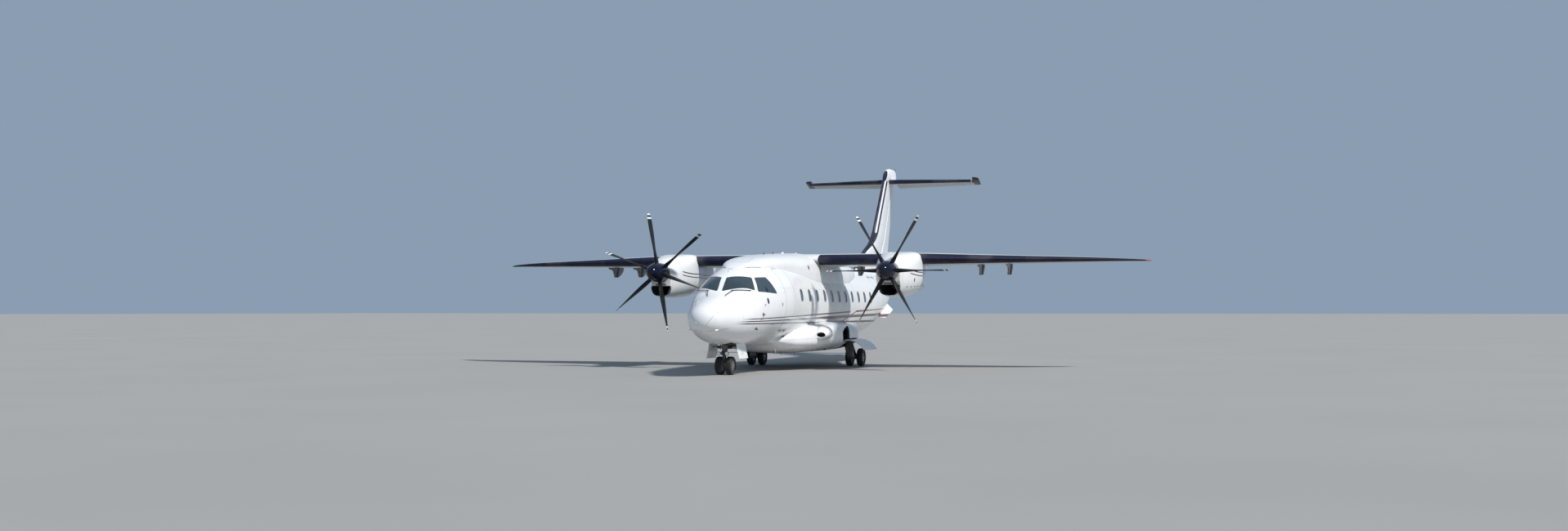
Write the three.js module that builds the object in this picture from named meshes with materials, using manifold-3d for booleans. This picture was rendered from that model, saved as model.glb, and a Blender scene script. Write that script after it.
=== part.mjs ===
// A parked twin-turboprop commuter airliner: high wing, T-tail, six-bladed feathered propellers, sponsons for the
// main gear. Millimetres, +Z up, nose towards -Y, the aircraft's left side towards +X. Lengths along the aircraft are
// stations measured aft from the nose tip; the whole group is then moved so that the origin is under its middle.
import * as THREE from "three";
import { mergeVertices } from "three/addons/utils/BufferGeometryUtils.js";
import Module from "manifold-3d";

const wasm = await Module();
wasm.setup();

// Driving dimensions
const LENGTH = 21280;
const SEMI_SPAN = 10490;
const HEIGHT = 7240;
const WHEELBASE = 7420;
const HALF_TRACK = 1610;
const NOSE_GEAR_STATION = 1810;
const MAIN_GEAR_STATION = NOSE_GEAR_STATION + WHEELBASE;
const SEAT = 0.3; // gap where one solid is seated on another
const SIDES = { left: 1, right: -1 };

// Materials
const paint = (color, roughness, metalness = 0) =>
  new THREE.MeshStandardMaterial({ color, roughness, metalness });
const WHITE = paint(0xf2f3f2, 0.3);
const GREY = paint(0x9aa1a6, 0.45);
const NAVY = paint(0x161a30, 0.4);
const BLACK = paint(0x17181c, 0.45);
const GLASS = paint(0x40586a, 0.08);
const METAL = paint(0xb4b7ba, 0.35, 0.9);
const DARK_METAL = paint(0x55585c, 0.5, 0.8);
const RUBBER = paint(0x1b1b1c, 0.9);
const TRIM = paint(0x3c4044, 0.8);

// Solids

// A closed geometry as a solid for cutting and joining, turned right way out.
function solidOf(geometry) {
  const bare = geometry.index ? geometry.toNonIndexed() : geometry.clone();
  for (const name of Object.keys(bare.attributes)) {
    if (name !== "position") bare.deleteAttribute(name);
  }
  const merged = mergeVertices(bare, 1e-3);
  const corners = new Uint32Array(merged.index.array);
  const make = () =>
    new wasm.Manifold(
      new wasm.Mesh({ numProp: 3, vertProperties: merged.attributes.position.array, triVerts: corners }),
    );
  const made = make();
  if (made.volume() >= 0) return made;
  for (let i = 0; i < corners.length; i += 3) {
    [corners[i + 1], corners[i + 2]] = [corners[i + 2], corners[i + 1]];
  }
  return make();
}

function geometryOf(solid) {
  const { numProp, numVert, vertProperties, triVerts } = solid.getMesh();
  const places = new Float32Array(numVert * 3);
  for (let i = 0; i < numVert; i++) {
    places.set(vertProperties.subarray(i * numProp, i * numProp + 3), i * 3);
  }
  return new THREE.BufferGeometry()
    .setAttribute("position", new THREE.BufferAttribute(places, 3))
    .setIndex(new THREE.BufferAttribute(new Uint32Array(triVerts), 1));
}

const join = (...solids) => solids.reduce((a, b) => a.add(b));
const cut = (body, ...tools) => tools.reduce((a, b) => a.subtract(b), body);

// A skin through rings of points, with flat ends: each ring has the same number of points.
function loft(rings) {
  const count = rings[0].length;
  const places = rings.flat().flatMap((p) => [p.x, p.y, p.z]);
  const faces = [];
  for (let r = 0; r + 1 < rings.length; r++) {
    for (let i = 0; i < count; i++) {
      const [a, b] = [r * count + i, r * count + ((i + 1) % count)];
      faces.push(a, b, a + count, b, b + count, a + count);
    }
  }
  const normal = (ring) =>
    ring.reduce((sum, p, i) => sum.add(p.clone().cross(ring[(i + 1) % count])), new THREE.Vector3());
  const cap = (ring, first, turned) => {
    const n = normal(ring);
    const size = [n.x, n.y, n.z].map(Math.abs);
    const drop = size.indexOf(Math.max(...size));
    const flat = ring.map((p) => new THREE.Vector2(...[p.x, p.y, p.z].filter((_, axis) => axis !== drop)));
    const reversed = THREE.ShapeUtils.isClockWise(flat);
    const order = flat.map((_, i) => (reversed ? count - 1 - i : i));
    for (const [a, b, c] of THREE.ShapeUtils.triangulateShape(order.map((i) => flat[i]), [])) {
      const corner = [order[a], order[b], order[c]].map((i) => first + i);
      if (turned !== reversed) corner.reverse();
      faces.push(...corner);
    }
  };
  cap(rings[0], 0, true);
  cap(rings.at(-1), (rings.length - 1) * count, false);
  return new THREE.BufferGeometry()
    .setAttribute("position", new THREE.Float32BufferAttribute(places, 3))
    .setIndex(faces);
}
const loftSolid = (rings) => solidOf(loft(rings));

// A box between two corners.
function block(x0, y0, z0, x1, y1, z1) {
  const box = new THREE.BoxGeometry(Math.abs(x1 - x0), Math.abs(y1 - y0), Math.abs(z1 - z0));
  return solidOf(box.translate((x0 + x1) / 2, (y0 + y1) / 2, (z0 + z1) / 2));
}

// A round bar, or a cone, from one point to another.
function bar(from, to, radius, endRadius = radius, sides = 8) {
  const [a, b] = [new THREE.Vector3(...from), new THREE.Vector3(...to)];
  const along = b.clone().sub(a);
  const rod = new THREE.CylinderGeometry(endRadius, radius, along.length(), sides);
  const turn = new THREE.Quaternion().setFromUnitVectors(new THREE.Vector3(0, 1, 0), along.clone().normalize());
  return solidOf(rod.applyQuaternion(turn).translate(...a.add(b).divideScalar(2)));
}

// A turned shape about the X axis, from [distance along X, radius] corners that close on themselves or on the axis.
function turned(profile, sides) {
  const lathe = new THREE.LatheGeometry(
    profile.map(([along, radius]) => new THREE.Vector2(radius, along)),
    sides,
  );
  return solidOf(lathe.rotateZ(-Math.PI / 2));
}

// A value read between the rows of a table whose first column is the station.
function read(table, at, column) {
  const next = table.findIndex((row) => row[0] >= at);
  if (next <= 0) return table[next === 0 ? 0 : table.length - 1][column];
  const [a, b] = [table[next - 1], table[next]];
  return a[column] + ((b[column] - a[column]) * (at - a[0])) / (b[0] - a[0]);
}

// An oval ring across the aircraft: half width, height of the widest point, top and bottom.
function oval(station, halfWidth, middle, top, bottom, power, count, centre = 0) {
  return Array.from({ length: count }, (_, i) => {
    const angle = (2 * Math.PI * (i + 0.5)) / count;
    const [upper, lower] = [power].flat().length > 1 ? power : [power, power];
    const exponent = 2 / (Math.sin(angle) > 0 ? upper : lower);
    const bend = (v) => Math.sign(v) * Math.abs(v) ** exponent;
    const up = bend(Math.sin(angle));
    const half = up > 0 ? top - middle : middle - bottom;
    return new THREE.Vector3(centre + halfWidth * bend(Math.cos(angle)), station, middle + half * up);
  });
}

// Fuselage

// station, half width, height of the widest point, top, bottom
const FUSELAGE = [
  [0, 60, 1470, 1525, 1415],
  [40, 190, 1470, 1640, 1300],
  [160, 360, 1475, 1775, 1170],
  [450, 540, 1485, 1915, 1030],
  [850, 705, 1500, 2045, 905],
  [1290, 855, 1530, 2200, 825],
  [1710, 960, 1590, 2590, 780],
  [2150, 1040, 1660, 2785, 755],
  [2600, 1095, 1740, 2925, 750],
  [3100, 1140, 1820, 3040, 750],
  [3700, 1175, 1890, 3115, 750],
  [4500, 1200, 1950, 3150, 750],
  [12500, 1200, 1950, 3150, 750],
  [13300, 1195, 1960, 3150, 800],
  [14400, 1150, 2030, 3150, 975],
  [15600, 1040, 2150, 3145, 1260],
  [16900, 845, 2330, 3135, 1640],
  [18200, 590, 2540, 3120, 2060],
  [19400, 330, 2750, 3095, 2480],
  [20300, 120, 2930, 3060, 2820],
];
const RING = 24;
// The fuselage's own shape, less a margin all round, between two stations.
function hull(from, to, margin = 0) {
  const stations = [from, ...FUSELAGE.map((row) => row[0]).filter((at) => at > from && at < to), to];
  return loftSolid(
    stations.map((at) => {
      const [halfWidth, middle, top, bottom] = [1, 2, 3, 4].map((column) => read(FUSELAGE, at, column));
      return oval(at, halfWidth - margin, middle, top - margin, bottom + margin, 2, RING);
    }),
  );
}

const RADOME_END = 450;
const NOSE_END = 3100;
const FORWARD_END = 5000;
const CENTRE_END = 13300;
const REAR_END = 17100;
const SKIN = 60;

// A window's prism: its corners in the side or front view, pushed through the skin.
function windowPrism(corners, push) {
  const ring = corners.map((c) => new THREE.Vector3(...c));
  return loftSolid([-1, 1].map((way) => ring.map((p) => p.clone().addScaledVector(push, way))));
}
// Corners of the left windscreen and the left side window, on the skin: bottom inner, bottom outer, top outer, top inner.
const WINDOWS = {
  windscreen: {
    corners: [[62, 1340, 2225], [800, 1905, 2240], [610, 2185, 2610], [62, 1735, 2585]],
    push: [250, -520, 420],
  },
  side_window: {
    corners: [[872, 1985, 2225], [1065, 2990, 2165], [850, 2790, 2640], [672, 2290, 2610]],
    push: [600, -150, 260],
  },
};
const GLASS_THICKNESS = 30;
function windowSolid(spec, side, shrink) {
  const middle = [0, 1, 2].map((k) => spec.corners.reduce((sum, c) => sum + c[k] / 4, 0));
  const corners = spec.corners.map((c) => c.map((v, k) => v + ((middle[k] - v) * shrink) / 350));
  return windowPrism(
    corners.map(([x, y, z]) => [side * x, y, z]),
    new THREE.Vector3(side * spec.push[0], spec.push[1], spec.push[2]).multiplyScalar(0.5),
  );
}

const NOSE_BAY = { halfWidth: 350, from: 1300, to: 2420, ceiling: 1300 };
const COCKPIT = { from: 1250, to: 3040, floor: 1430, wall: 75 };

function noseSection() {
  const cabin = hull(COCKPIT.from, COCKPIT.to, COCKPIT.wall).intersect(
    block(-2000, COCKPIT.from, COCKPIT.floor, 2000, COCKPIT.to, 4000),
  );
  const bay = block(
    -NOSE_BAY.halfWidth, NOSE_BAY.from, 500, NOSE_BAY.halfWidth, NOSE_BAY.to, NOSE_BAY.ceiling,
  );
  const panes = Object.values(SIDES).flatMap((side) =>
    Object.values(WINDOWS).map((spec) => windowSolid(spec, side, 0)),
  );
  return cut(hull(RADOME_END, NOSE_END), cabin, bay, ...panes);
}

function pane(spec, side) {
  const shell = cut(hull(RADOME_END, NOSE_END), hull(RADOME_END - 10, NOSE_END + 10, GLASS_THICKNESS));
  return shell.intersect(windowSolid(spec, side, 3 * SEAT));
}

// Seats, glareshield, instrument panel and centre pedestal on the cockpit floor.
function flightDeck() {
  const floor = COCKPIT.floor + SEAT;
  const plate = block(-560, 1700, floor, 560, 2960, floor + 25);
  const panel = block(-640, 1660, 1900, 640, 1760, 2130);
  const post = block(-480, 1680, floor, 480, 1740, 1920);
  const shield = block(-600, 1640, 2100, 600, 1900, 2140);
  const pedestal = block(-130, 1730, floor, 130, 2350, 1800);
  const seats = Object.values(SIDES).map((side) =>
    join(
      block(side * 250, 2250, floor, side * 560, 2560, 1760),
      block(side * 190, 2180, 1740, side * 610, 2650, 1860),
      block(side * 200, 2620, 1800, side * 600, 2740, 2420),
      block(side * 300, 2630, 2400, side * 500, 2720, 2560),
    ),
  );
  return join(plate, panel, post, shield, pedestal, ...seats);
}

// Doors in the left side: station range, sill and head heights, hinge height, and the hollow behind.
const PASSENGER_DOOR = {
  from: 3550, to: 4270, sill: 1170, head: 2870, headGap: 24, hingeHeight: 1160, hingeX: 926, up: 1, hinges: [3720, 4100],
};
const VESTIBULE = { from: 3420, to: 4400, inner: -650, floor: 1210, ceiling: 2960 };
const BAGGAGE_DOOR = {
  from: 13750, to: 14670, sill: 1450, head: 2850, headGap: 8, hingeHeight: 2862, hingeX: 793, up: -1, hinges: [13930, 14490],
};
const BAGGAGE_BAY = { from: 13600, to: 16200, halfWidth: 800, floor: 1500, ceiling: 2900 };
const DOOR_GAP = 8;

const doorBox = ({ from, to, sill, head, headGap }, gap) =>
  block(300, from - gap, sill - gap, 2000, to + gap, head + (gap && headGap));

// A flat pad that a jack is set under.
const jackPad = (x, station, height) => bar([x, station, height], [x, station, height + 150], 45, 45, 12);

function forwardFuselage() {
  const inside = hull(NOSE_END, FORWARD_END, SKIN + DOOR_GAP).intersect(
    block(VESTIBULE.inner, VESTIBULE.from, VESTIBULE.floor, 2000, VESTIBULE.to, VESTIBULE.ceiling),
  );
  const shell = cut(hull(NOSE_END, FORWARD_END), inside, doorBox(PASSENGER_DOOR, DOOR_GAP));
  return join(shell, jackPad(0, 3400, 738), ...hingesOf(PASSENGER_DOOR).map((hinge) => hinge.fixed));
}

function rearFuselage() {
  const inside = hull(CENTRE_END, REAR_END, SKIN + DOOR_GAP).intersect(
    block(-BAGGAGE_BAY.halfWidth, BAGGAGE_BAY.from, BAGGAGE_BAY.floor, 2000, BAGGAGE_BAY.to, BAGGAGE_BAY.ceiling),
  );
  const shell = cut(hull(CENTRE_END, REAR_END), inside, doorBox(BAGGAGE_DOOR, DOOR_GAP));
  return join(shell, ...hingesOf(BAGGAGE_DOOR).map((hinge) => hinge.fixed));
}

// Where the skin's outer side is at a height, on the left.
function skinX(station, height) {
  const [halfWidth, middle, top, bottom] = [1, 2, 3, 4].map((column) => read(FUSELAGE, station, column));
  const half = height > middle ? top - middle : middle - bottom;
  return halfWidth * Math.sqrt(Math.max(0, 1 - ((height - middle) / half) ** 2));
}

// An outside hinge between a door and its frame: a lug with a pin on the fixed side, two bored lugs on the door.
const HINGE = { pin: 9, reach: 52, lug: 13, lift: 12, root: 75 };
function doorHinge(x, station, height, up) {
  const slope = Math.atan2(skinX(station, height + 20 * up) - skinX(station, height - 20 * up), 40);
  const along = new THREE.Vector3(Math.sin(slope), 0, Math.cos(slope) * up);
  const out = new THREE.Vector3(Math.abs(along.z), 0, -along.x * Math.sign(along.z));
  const centre = new THREE.Vector3(x, station, height);
  const lug = (way, from, to) => {
    const at = (reach, lift, y) =>
      centre.clone().addScaledVector(along, reach).addScaledVector(out, lift).setY(station + y);
    const ring = (y) =>
      [[HINGE.root, -30], [HINGE.root, 2], [-14, 14], [-14, -6], [24, -30]].map(([a, o]) => at(way * a, o, y));
    return loftSolid([ring(from), ring(to)]);
  };
  const pin = (radius, reach) => bar([x, station - reach, height], [x, station + reach, height], radius);
  return {
    fixed: join(lug(-1, -HINGE.lug, HINGE.lug), pin(HINGE.pin, HINGE.reach)),
    moving: cut(
      join(lug(1, HINGE.lug + 5, HINGE.reach - 6), lug(1, -HINGE.reach + 6, -HINGE.lug - 5)),
      pin(roomy(HINGE.pin), HINGE.reach + 5),
    ),
  };
}
const hingesOf = ({ hingeHeight, hingeX, up, hinges }) =>
  hinges.map((station) => doorHinge(hingeX, station, hingeHeight, up));

// A curved door panel, as thick as the wall.
const doorPanel = (door, sectionFrom, sectionTo) =>
  cut(hull(sectionFrom, sectionTo), hull(sectionFrom - 10, sectionTo + 10, SKIN)).intersect(doorBox(door, 0));

const STEP = { count: 4, first: 330, pitch: 330, depth: 210, thickness: 35 };
function passengerDoor() {
  const treads = Array.from({ length: STEP.count }, (_, i) => {
    const height = PASSENGER_DOOR.sill + STEP.first + i * STEP.pitch;
    const skin = skinX(3900, height) - SKIN;
    return block(
      skin - STEP.depth, PASSENGER_DOOR.from + 60, height, skin + 25, PASSENGER_DOOR.to - 60, height + STEP.thickness,
    );
  });
  const lugs = hingesOf(PASSENGER_DOOR).map((hinge) => hinge.moving);
  return join(doorPanel(PASSENGER_DOOR, NOSE_END, FORWARD_END), ...treads, ...lugs);
}
const baggageDoor = () =>
  join(doorPanel(BAGGAGE_DOOR, CENTRE_END, REAR_END), ...hingesOf(BAGGAGE_DOOR).map((hinge) => hinge.moving));

// Wing

// distance from the centreline, leading edge station, chord, leading edge height, thickness share
const WING = [
  [0, 7200, 2550, 3235, 0.15],
  [4185, 7200, 2550, 3235, 0.15],
  [8700, 8480, 1270, 3215, 0.13],
  [9400, 8770, 980, 3210, 0.12],
  [9700, 8978, 772, 3208, 0.12],
  [10050, 9220, 640, 3205, 0.11],
  [SEMI_SPAN, 9770, 260, 3200, 0.1],
];
const CAMBER = 0.012;
const INCIDENCE = 0.035; // how far the trailing edge lies under the leading edge, as a share of the chord
const COSINE = (share) => (1 - Math.cos(Math.PI * share)) / 2;

// Half thickness of a closed aerofoil at a share of the chord.
const halfThickness = (u, t) =>
  5 * t * (0.2969 * Math.sqrt(u) - 0.126 * u - 0.3516 * u ** 2 + 0.2843 * u ** 3 - 0.1036 * u ** 4);

// A section across a lifting surface, in its own plane: at() gives [aft, up] for a share of the chord and a side.
function section(leading, chord, height, thickness, camber = CAMBER, incidence = INCIDENCE) {
  const middle = (u) => height + chord * (4 * camber * u * (1 - u) - incidence * u);
  return {
    leading,
    chord,
    middleAt: (aft) => middle((aft - leading) / chord),
    halfAt: (aft) => chord * halfThickness((aft - leading) / chord, thickness),
    at: (u, way) => [leading + u * chord, middle(u) + way * chord * halfThickness(u, thickness)],
  };
}
const wingSection = (x) => section(...[1, 2, 3, 4].map((column) => read(WING, x, column)));

const SKIN_POINTS = 6; // points on each side of a section
const skinLine = (part, from, to, way, count = SKIN_POINTS) =>
  Array.from({ length: count }, (_, i) => {
    const [a, b] = [from, to].map((share) => Math.acos(1 - 2 * share) / Math.PI);
    return part.at(COSINE(a + ((b - a) * i) / (count - 1)), way);
  });

// The whole section, from the upper trailing edge round the nose to the lower one.
const wholeProfile = (part) => [
  ...skinLine(part, 0.999, 0, 1),
  ...skinLine(part, 0, 0.999, -1).slice(1),
];

// The fixed part in front of a plain hinge: it ends in a round cove about the hinge.
const LIP = 5;
const COVE_GAP = 13;
const ARC_POINTS = 6;
const share = (part, aft) => (aft - part.leading) / part.chord;
function arc(part, hinge, radius, from, to, stretch = 1) {
  const up = part.middleAt(hinge);
  return Array.from({ length: ARC_POINTS }, (_, i) => {
    const angle = from + ((to - from) * i) / (ARC_POINTS - 1);
    return [hinge + stretch * radius * Math.cos(angle), up + radius * Math.sin(angle)];
  });
}
const COVE_ANGLE = 1.75;
const fixedProfile = (part, hinge, stretch) => [
  ...skinLine(part, share(part, hinge - 10), 0, 1),
  ...skinLine(part, 0, share(part, hinge - 10), -1).slice(1),
  ...arc(part, hinge, part.halfAt(hinge) - LIP, 2 * Math.PI - COVE_ANGLE, COVE_ANGLE, stretch),
];

// A plain hinged surface: a round nose in the cove, and its skins clear of the lips when it swings.
const NOSE_ANGLE = 1.05;
function hingedProfile(part, hinge, stretch = 1) {
  const radius = part.halfAt(hinge) - LIP - COVE_GAP;
  const start = share(part, hinge + (stretch * part.halfAt(hinge)) / Math.tan(NOSE_ANGLE));
  return [
    ...skinLine(part, 0.998, start, 1, 4),
    ...arc(part, hinge, radius, NOSE_ANGLE, 2 * Math.PI - NOSE_ANGLE, stretch),
    ...skinLine(part, start, 0.998, -1, 4),
  ];
}

// A slotted flap and the wing in front of it: the upper skin runs on as a shroud over the flap's nose.
const SHROUD = 130;
const FLAP_CHORD = 560;
const flapNose = (part) => part.leading + part.chord - FLAP_CHORD;
const depthAt = (part, aft, level) => part.middleAt(aft) + part.halfAt(aft) * (2 * level - 1);
function flapCoveProfile(part) {
  const nose = flapNose(part);
  const lip = nose + SHROUD;
  return [
    ...skinLine(part, share(part, lip), 0, 1),
    ...skinLine(part, 0, share(part, nose - 40), -1).slice(1),
    [nose - 40, depthAt(part, nose - 40, 0.75)],
    [nose - 15, depthAt(part, nose, 0.84)],
    [lip, depthAt(part, lip, 1) - 12],
  ];
}
function flapProfile(part) {
  const nose = flapNose(part);
  const lip = nose + SHROUD;
  return [
    ...skinLine(part, 0.998, share(part, lip + 25), 1, 4),
    [lip + 5, depthAt(part, lip, 1) - 32],
    [nose + 45, depthAt(part, nose, 0.56)],
    [nose + 8, depthAt(part, nose, 0.42)],
    [nose, depthAt(part, nose, 0.28)],
    [nose + 22, depthAt(part, nose, 0.08)],
    ...skinLine(part, share(part, nose + 90), 0.998, -1, 4),
  ];
}

// The whole section grown all round, to cut room for it.
function grownProfile(part) {
  const line = wholeProfile(part);
  return line.map(([aft, up], i) => {
    const [before, after] = [line.at(i - 1), line[(i + 1) % line.length]];
    const edges = [[aft - before[0], up - before[1]], [after[0] - aft, after[1] - up]]
      .map(([a, b]) => [-b / Math.hypot(a, b), a / Math.hypot(a, b)]);
    const lean = [edges[0][0] + edges[1][0], edges[0][1] + edges[1][1]];
    const grow = (-2 * SEAT) / Math.max(0.4, lean[0] ** 2 + lean[1] ** 2);
    return [aft + grow * lean[0], up + grow * lean[1]];
  });
}

// A stretch of wing between two distances from the centreline, on one side.
const WING_BREAKS = WING.map((row) => row[0]);
function wingStretch(side, from, to, profile) {
  const stations = [from, ...WING_BREAKS.filter((x) => x > from && x < to), to];
  return loftSolid(
    stations.map((x) => profile(wingSection(x)).map(([aft, up]) => new THREE.Vector3(side * x, aft, up))),
  );
}

const ROOT = 1180; // where the wing leaves its fairing
const NACELLE_SIDES = [2820, 4185];
const WING_JOINT = 4185;
const FLAP_END = 7900;
const AILERON = { from: 7960, to: 9640, chord: 400, end: 9700 };
const END_GAP = 12;
const aileronHinge = (part) => part.leading + part.chord - AILERON.chord;
const aileronHingeAt = (x) => {
  const part = wingSection(x);
  return [x, aileronHinge(part), part.middleAt(aileronHinge(part))];
};
// Flap hinges lie under the wing, at the ends of the track fairings.
const FLAP_HINGE = { drop: 330, ahead: 20 };
const flapHinge = { y: flapNose(wingSection(5000)) - FLAP_HINGE.ahead, z: 3150 - FLAP_HINGE.drop };

// A hinge bracket on the fixed part: a plate and a pin, and the slot and bore for them in the moving part.
const PIN = { radius: 9, length: 66 };
const BRACKET = { width: 14, slot: 28, rear: 14, half: 13 };
const BRACKET_SIDES = 8;
const roomy = (radius) => (radius + SEAT) / Math.cos(Math.PI / BRACKET_SIDES);
function bracketAt(place, axis, aft, front = 90) {
  const frame = new THREE.Matrix4().makeBasis(axis, aft, axis.clone().cross(aft)).setPosition(...place);
  const put = (geometry) => solidOf(geometry.applyMatrix4(frame));
  const plate = (width, rear, half) =>
    put(new THREE.BoxGeometry(width, front + rear, 2 * half).translate(0, (rear - front) / 2, 0));
  const rod = (radius, length) =>
    put(new THREE.CylinderGeometry(radius, radius, length, BRACKET_SIDES).rotateZ(Math.PI / 2));
  return {
    fixed: join(plate(BRACKET.width, BRACKET.rear, BRACKET.half), rod(PIN.radius, PIN.length)),
    room: join(plate(BRACKET.slot, BRACKET.rear + 10, 120), rod(roomy(PIN.radius), PIN.length + 2)),
  };
}
const AFT = new THREE.Vector3(0, 1, 0);

// Aileron brackets: shares of the aileron's span.
const aileronBrackets = (side) =>
  [0.15, 0.85].map((part) => {
    const x = AILERON.from + (AILERON.to - AILERON.from) * part;
    const [a, b] = [AILERON.from, AILERON.to].map((at) => new THREE.Vector3(...aileronHingeAt(at)));
    const axis = b.sub(a).normalize();
    axis.x *= side;
    const [, y, z] = aileronHingeAt(x);
    return bracketAt([side * x, y, z], axis, AFT);
  });

// A flap track fairing under the wing, with the flap's hinge pin at its lower end.
const TRACKS = { inner: [1780], outer: [5548, 6402] };
const TRACK = { halfWidth: 38, length: 640, pin: 12, pinSides: 12, arm: 14, armGap: 6 };
function trackFairing(side, x) {
  const part = wingSection(x);
  const nose = flapNose(part);
  const under = (aft) => part.at(share(part, aft), -1)[1] + 12;
  const ring = (aft, low, width) =>
    [[-width, under(aft)], [-width, (under(aft) + low) / 2], [-width * 0.3, low], [width * 0.3, low],
      [width, (under(aft) + low) / 2], [width, under(aft)]]
      .map(([dx, z]) => new THREE.Vector3(side * x + dx, aft, z));
  const low = flapHinge.z - 35;
  const body = loftSolid([
    ring(nose - TRACK.length, under(nose - TRACK.length) - 40, 8),
    ring(nose - TRACK.length * 0.5, low * 0.35 + under(nose) * 0.65, TRACK.halfWidth * 0.8),
    ring(nose - 150, low, TRACK.halfWidth),
    ring(nose - 45, low, TRACK.halfWidth * 0.9),
  ]);
  const lug = block(side * x - 20, nose - 170, flapHinge.z - 28, side * x + 20, nose + 10, flapHinge.z + 28);
  const reach = TRACK.halfWidth + TRACK.arm + TRACK.armGap + 4;
  const [from, to] = [-reach, reach].map((dx) => [side * x + dx, flapHinge.y, flapHinge.z]);
  const pin = bar(from, to, TRACK.pin, TRACK.pin, TRACK.pinSides);
  return join(body, lug, pin);
}
// Rows of the fairing's tail, which moves with the flap: distance aft of the flap's nose, height over the hinge, half width.
const TRACK_TAIL = [
  [35, -35, 47],
  [240, 20, 47],
  [430, 120, 34],
  [545, 205, 12],
];
// The flap's arms down to that pin, one each side of the fairing, and the tail between them.
function flapArms(side, x) {
  const part = wingSection(x);
  const nose = flapNose(part);
  const tail = loftSolid(
    TRACK_TAIL.map(([aft, rise, width]) => {
      const roof = part.at(share(part, nose + aft), -1)[1] + 6;
      const low = flapHinge.z + rise;
      return [[-width, roof], [-width, (roof + low) / 2], [-width * 0.3, low], [width * 0.3, low], [width, (roof + low) / 2],
        [width, roof]].map(([dx, z]) => new THREE.Vector3(side * x + dx, nose + aft, z));
    }),
  );
  const top = part.at(share(part, nose + 140), -1)[1] + 14;
  const outline = (at) =>
    [[flapHinge.y - 30, flapHinge.z - 24], [flapHinge.y + 30, flapHinge.z - 28], [nose + 230, top], [nose + 60, top],
      [flapHinge.y - 30, flapHinge.z + 30]]
      .map(([aft, up]) => new THREE.Vector3(at, aft, up));
  const arms = [-1, 1].map((way) => {
    const inner = side * x + way * (TRACK.halfWidth + TRACK.armGap);
    const plate = loftSolid([outline(inner), outline(inner + way * TRACK.arm)]);
    const [from, to] = [-200, 200].map((dx) => [side * x + dx, flapHinge.y, flapHinge.z]);
    const radius = (TRACK.pin + SEAT) / Math.cos(Math.PI / TRACK.pinSides);
    const hole = bar(from, to, radius, radius, TRACK.pinSides);
    return cut(plate, hole);
  });
  return [tail, ...arms];
}

function wingCentre() {
  const stretches = Object.values(SIDES).flatMap((side) => [
    wingStretch(side, 0, ROOT, wholeProfile),
    wingStretch(side, ROOT, NACELLE_SIDES[0], flapCoveProfile),
    wingStretch(side, NACELLE_SIDES[0], WING_JOINT, wholeProfile),
    ...TRACKS.inner.map((x) => trackFairing(side, x)),
  ]);
  return cut(join(...stretches), hull(FORWARD_END, CENTRE_END, -SEAT));
}

function wingOuter(side) {
  const fixed = (part) => fixedProfile(part, aileronHinge(part));
  return join(
    wingStretch(side, WING_JOINT, FLAP_END + END_GAP, flapCoveProfile),
    wingStretch(side, FLAP_END + END_GAP, AILERON.from - END_GAP, wholeProfile),
    wingStretch(side, AILERON.from - END_GAP, AILERON.to + END_GAP, fixed),
    wingStretch(side, AILERON.to + END_GAP, SEMI_SPAN, wholeProfile),
    ...TRACKS.outer.map((x) => trackFairing(side, x)),
    ...aileronBrackets(side).map((bracket) => bracket.fixed),
  );
}

const flap = (side, from, to, tracks) =>
  join(wingStretch(side, from, to, flapProfile), ...tracks.flatMap((x) => flapArms(side, x)));

const aileron = (side) =>
  cut(
    wingStretch(side, AILERON.from, AILERON.to, (part) => hingedProfile(part, aileronHinge(part))),
    ...aileronBrackets(side).map((bracket) => bracket.room),
  );

// The fairing that carries the wing over the fuselage

// station, half width, top; its foot is inside the fuselage
const HUMP = [
  [2350, 300, 2880],
  [2900, 600, 3050],
  [3700, 850, 3205],
  [4800, 1010, 3310],
  [6200, 1110, 3390],
  [7400, 1165, 3440],
  [9200, 1165, 3450],
  [10400, 1040, 3400],
  [11500, 790, 3310],
  [12600, 420, 3185],
];
const HUMP_POWER = 2.4;
const HUMP_FOOT = 2450;
const HUMP_RING = 18;
function wingFairing() {
  const body = loftSolid(
    HUMP.map(([at, halfWidth, top]) => oval(at, halfWidth, 2680, top, HUMP_FOOT, HUMP_POWER, HUMP_RING)),
  );
  const wing = Object.values(SIDES).map((side) => wingStretch(side, 0, ROOT + 200, grownProfile));
  return cut(body, hull(2000, 13500, -SEAT), ...wing);
}

// Belly fairing and sponsons

// station, half width, top, bottom, upper squareness
const BELLY = [
  [4300, 620, 1000, 760, 2.4],
  [4900, 1080, 1170, 560, 2.8],
  [5700, 1400, 1290, 490, 3.6],
  [6300, 1530, 1350, 470, 4.4],
  [7000, 1620, 1380, 470, 4.4],
  [7800, 1670, 1400, 470, 4.2],
  [8900, 1650, 1400, 475, 4],
  [9700, 1540, 1390, 490, 3.4],
  [10700, 1330, 1340, 530, 3],
  [11700, 1030, 1210, 610, 2.6],
  [12600, 640, 1040, 740, 2.4],
];
const BELLY_KEEL = 2.6;
const SPONSON_INNER = 760;
const SPONSON_WALL = 45;
// The gear bay, its open bottom from below the wall height, and the notch ahead of the leg in its side.
const GEAR_BAY = { from: 7600, to: 9620, inner: 1130, bottom: 300, top: 1170, open: 8020, wall: 872 };
const GEAR_NOTCH = [[8340, 780], [7640, 780], [7570, 930], [7560, 1080], [7760, 1170], [8420, 1270], [8310, 1150], [8310, 1000]];
const bellyShape = (margin) =>
  loftSolid(
    BELLY.map(([at, halfWidth, top, bottom, square]) =>
      oval(at, halfWidth - margin, (top + bottom) / 2, top - margin, bottom + margin, [square, BELLY_KEEL], 20),
    ),
  );
const bellyBody = () => cut(bellyShape(0), hull(3700, 13300, -SEAT));

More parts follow.
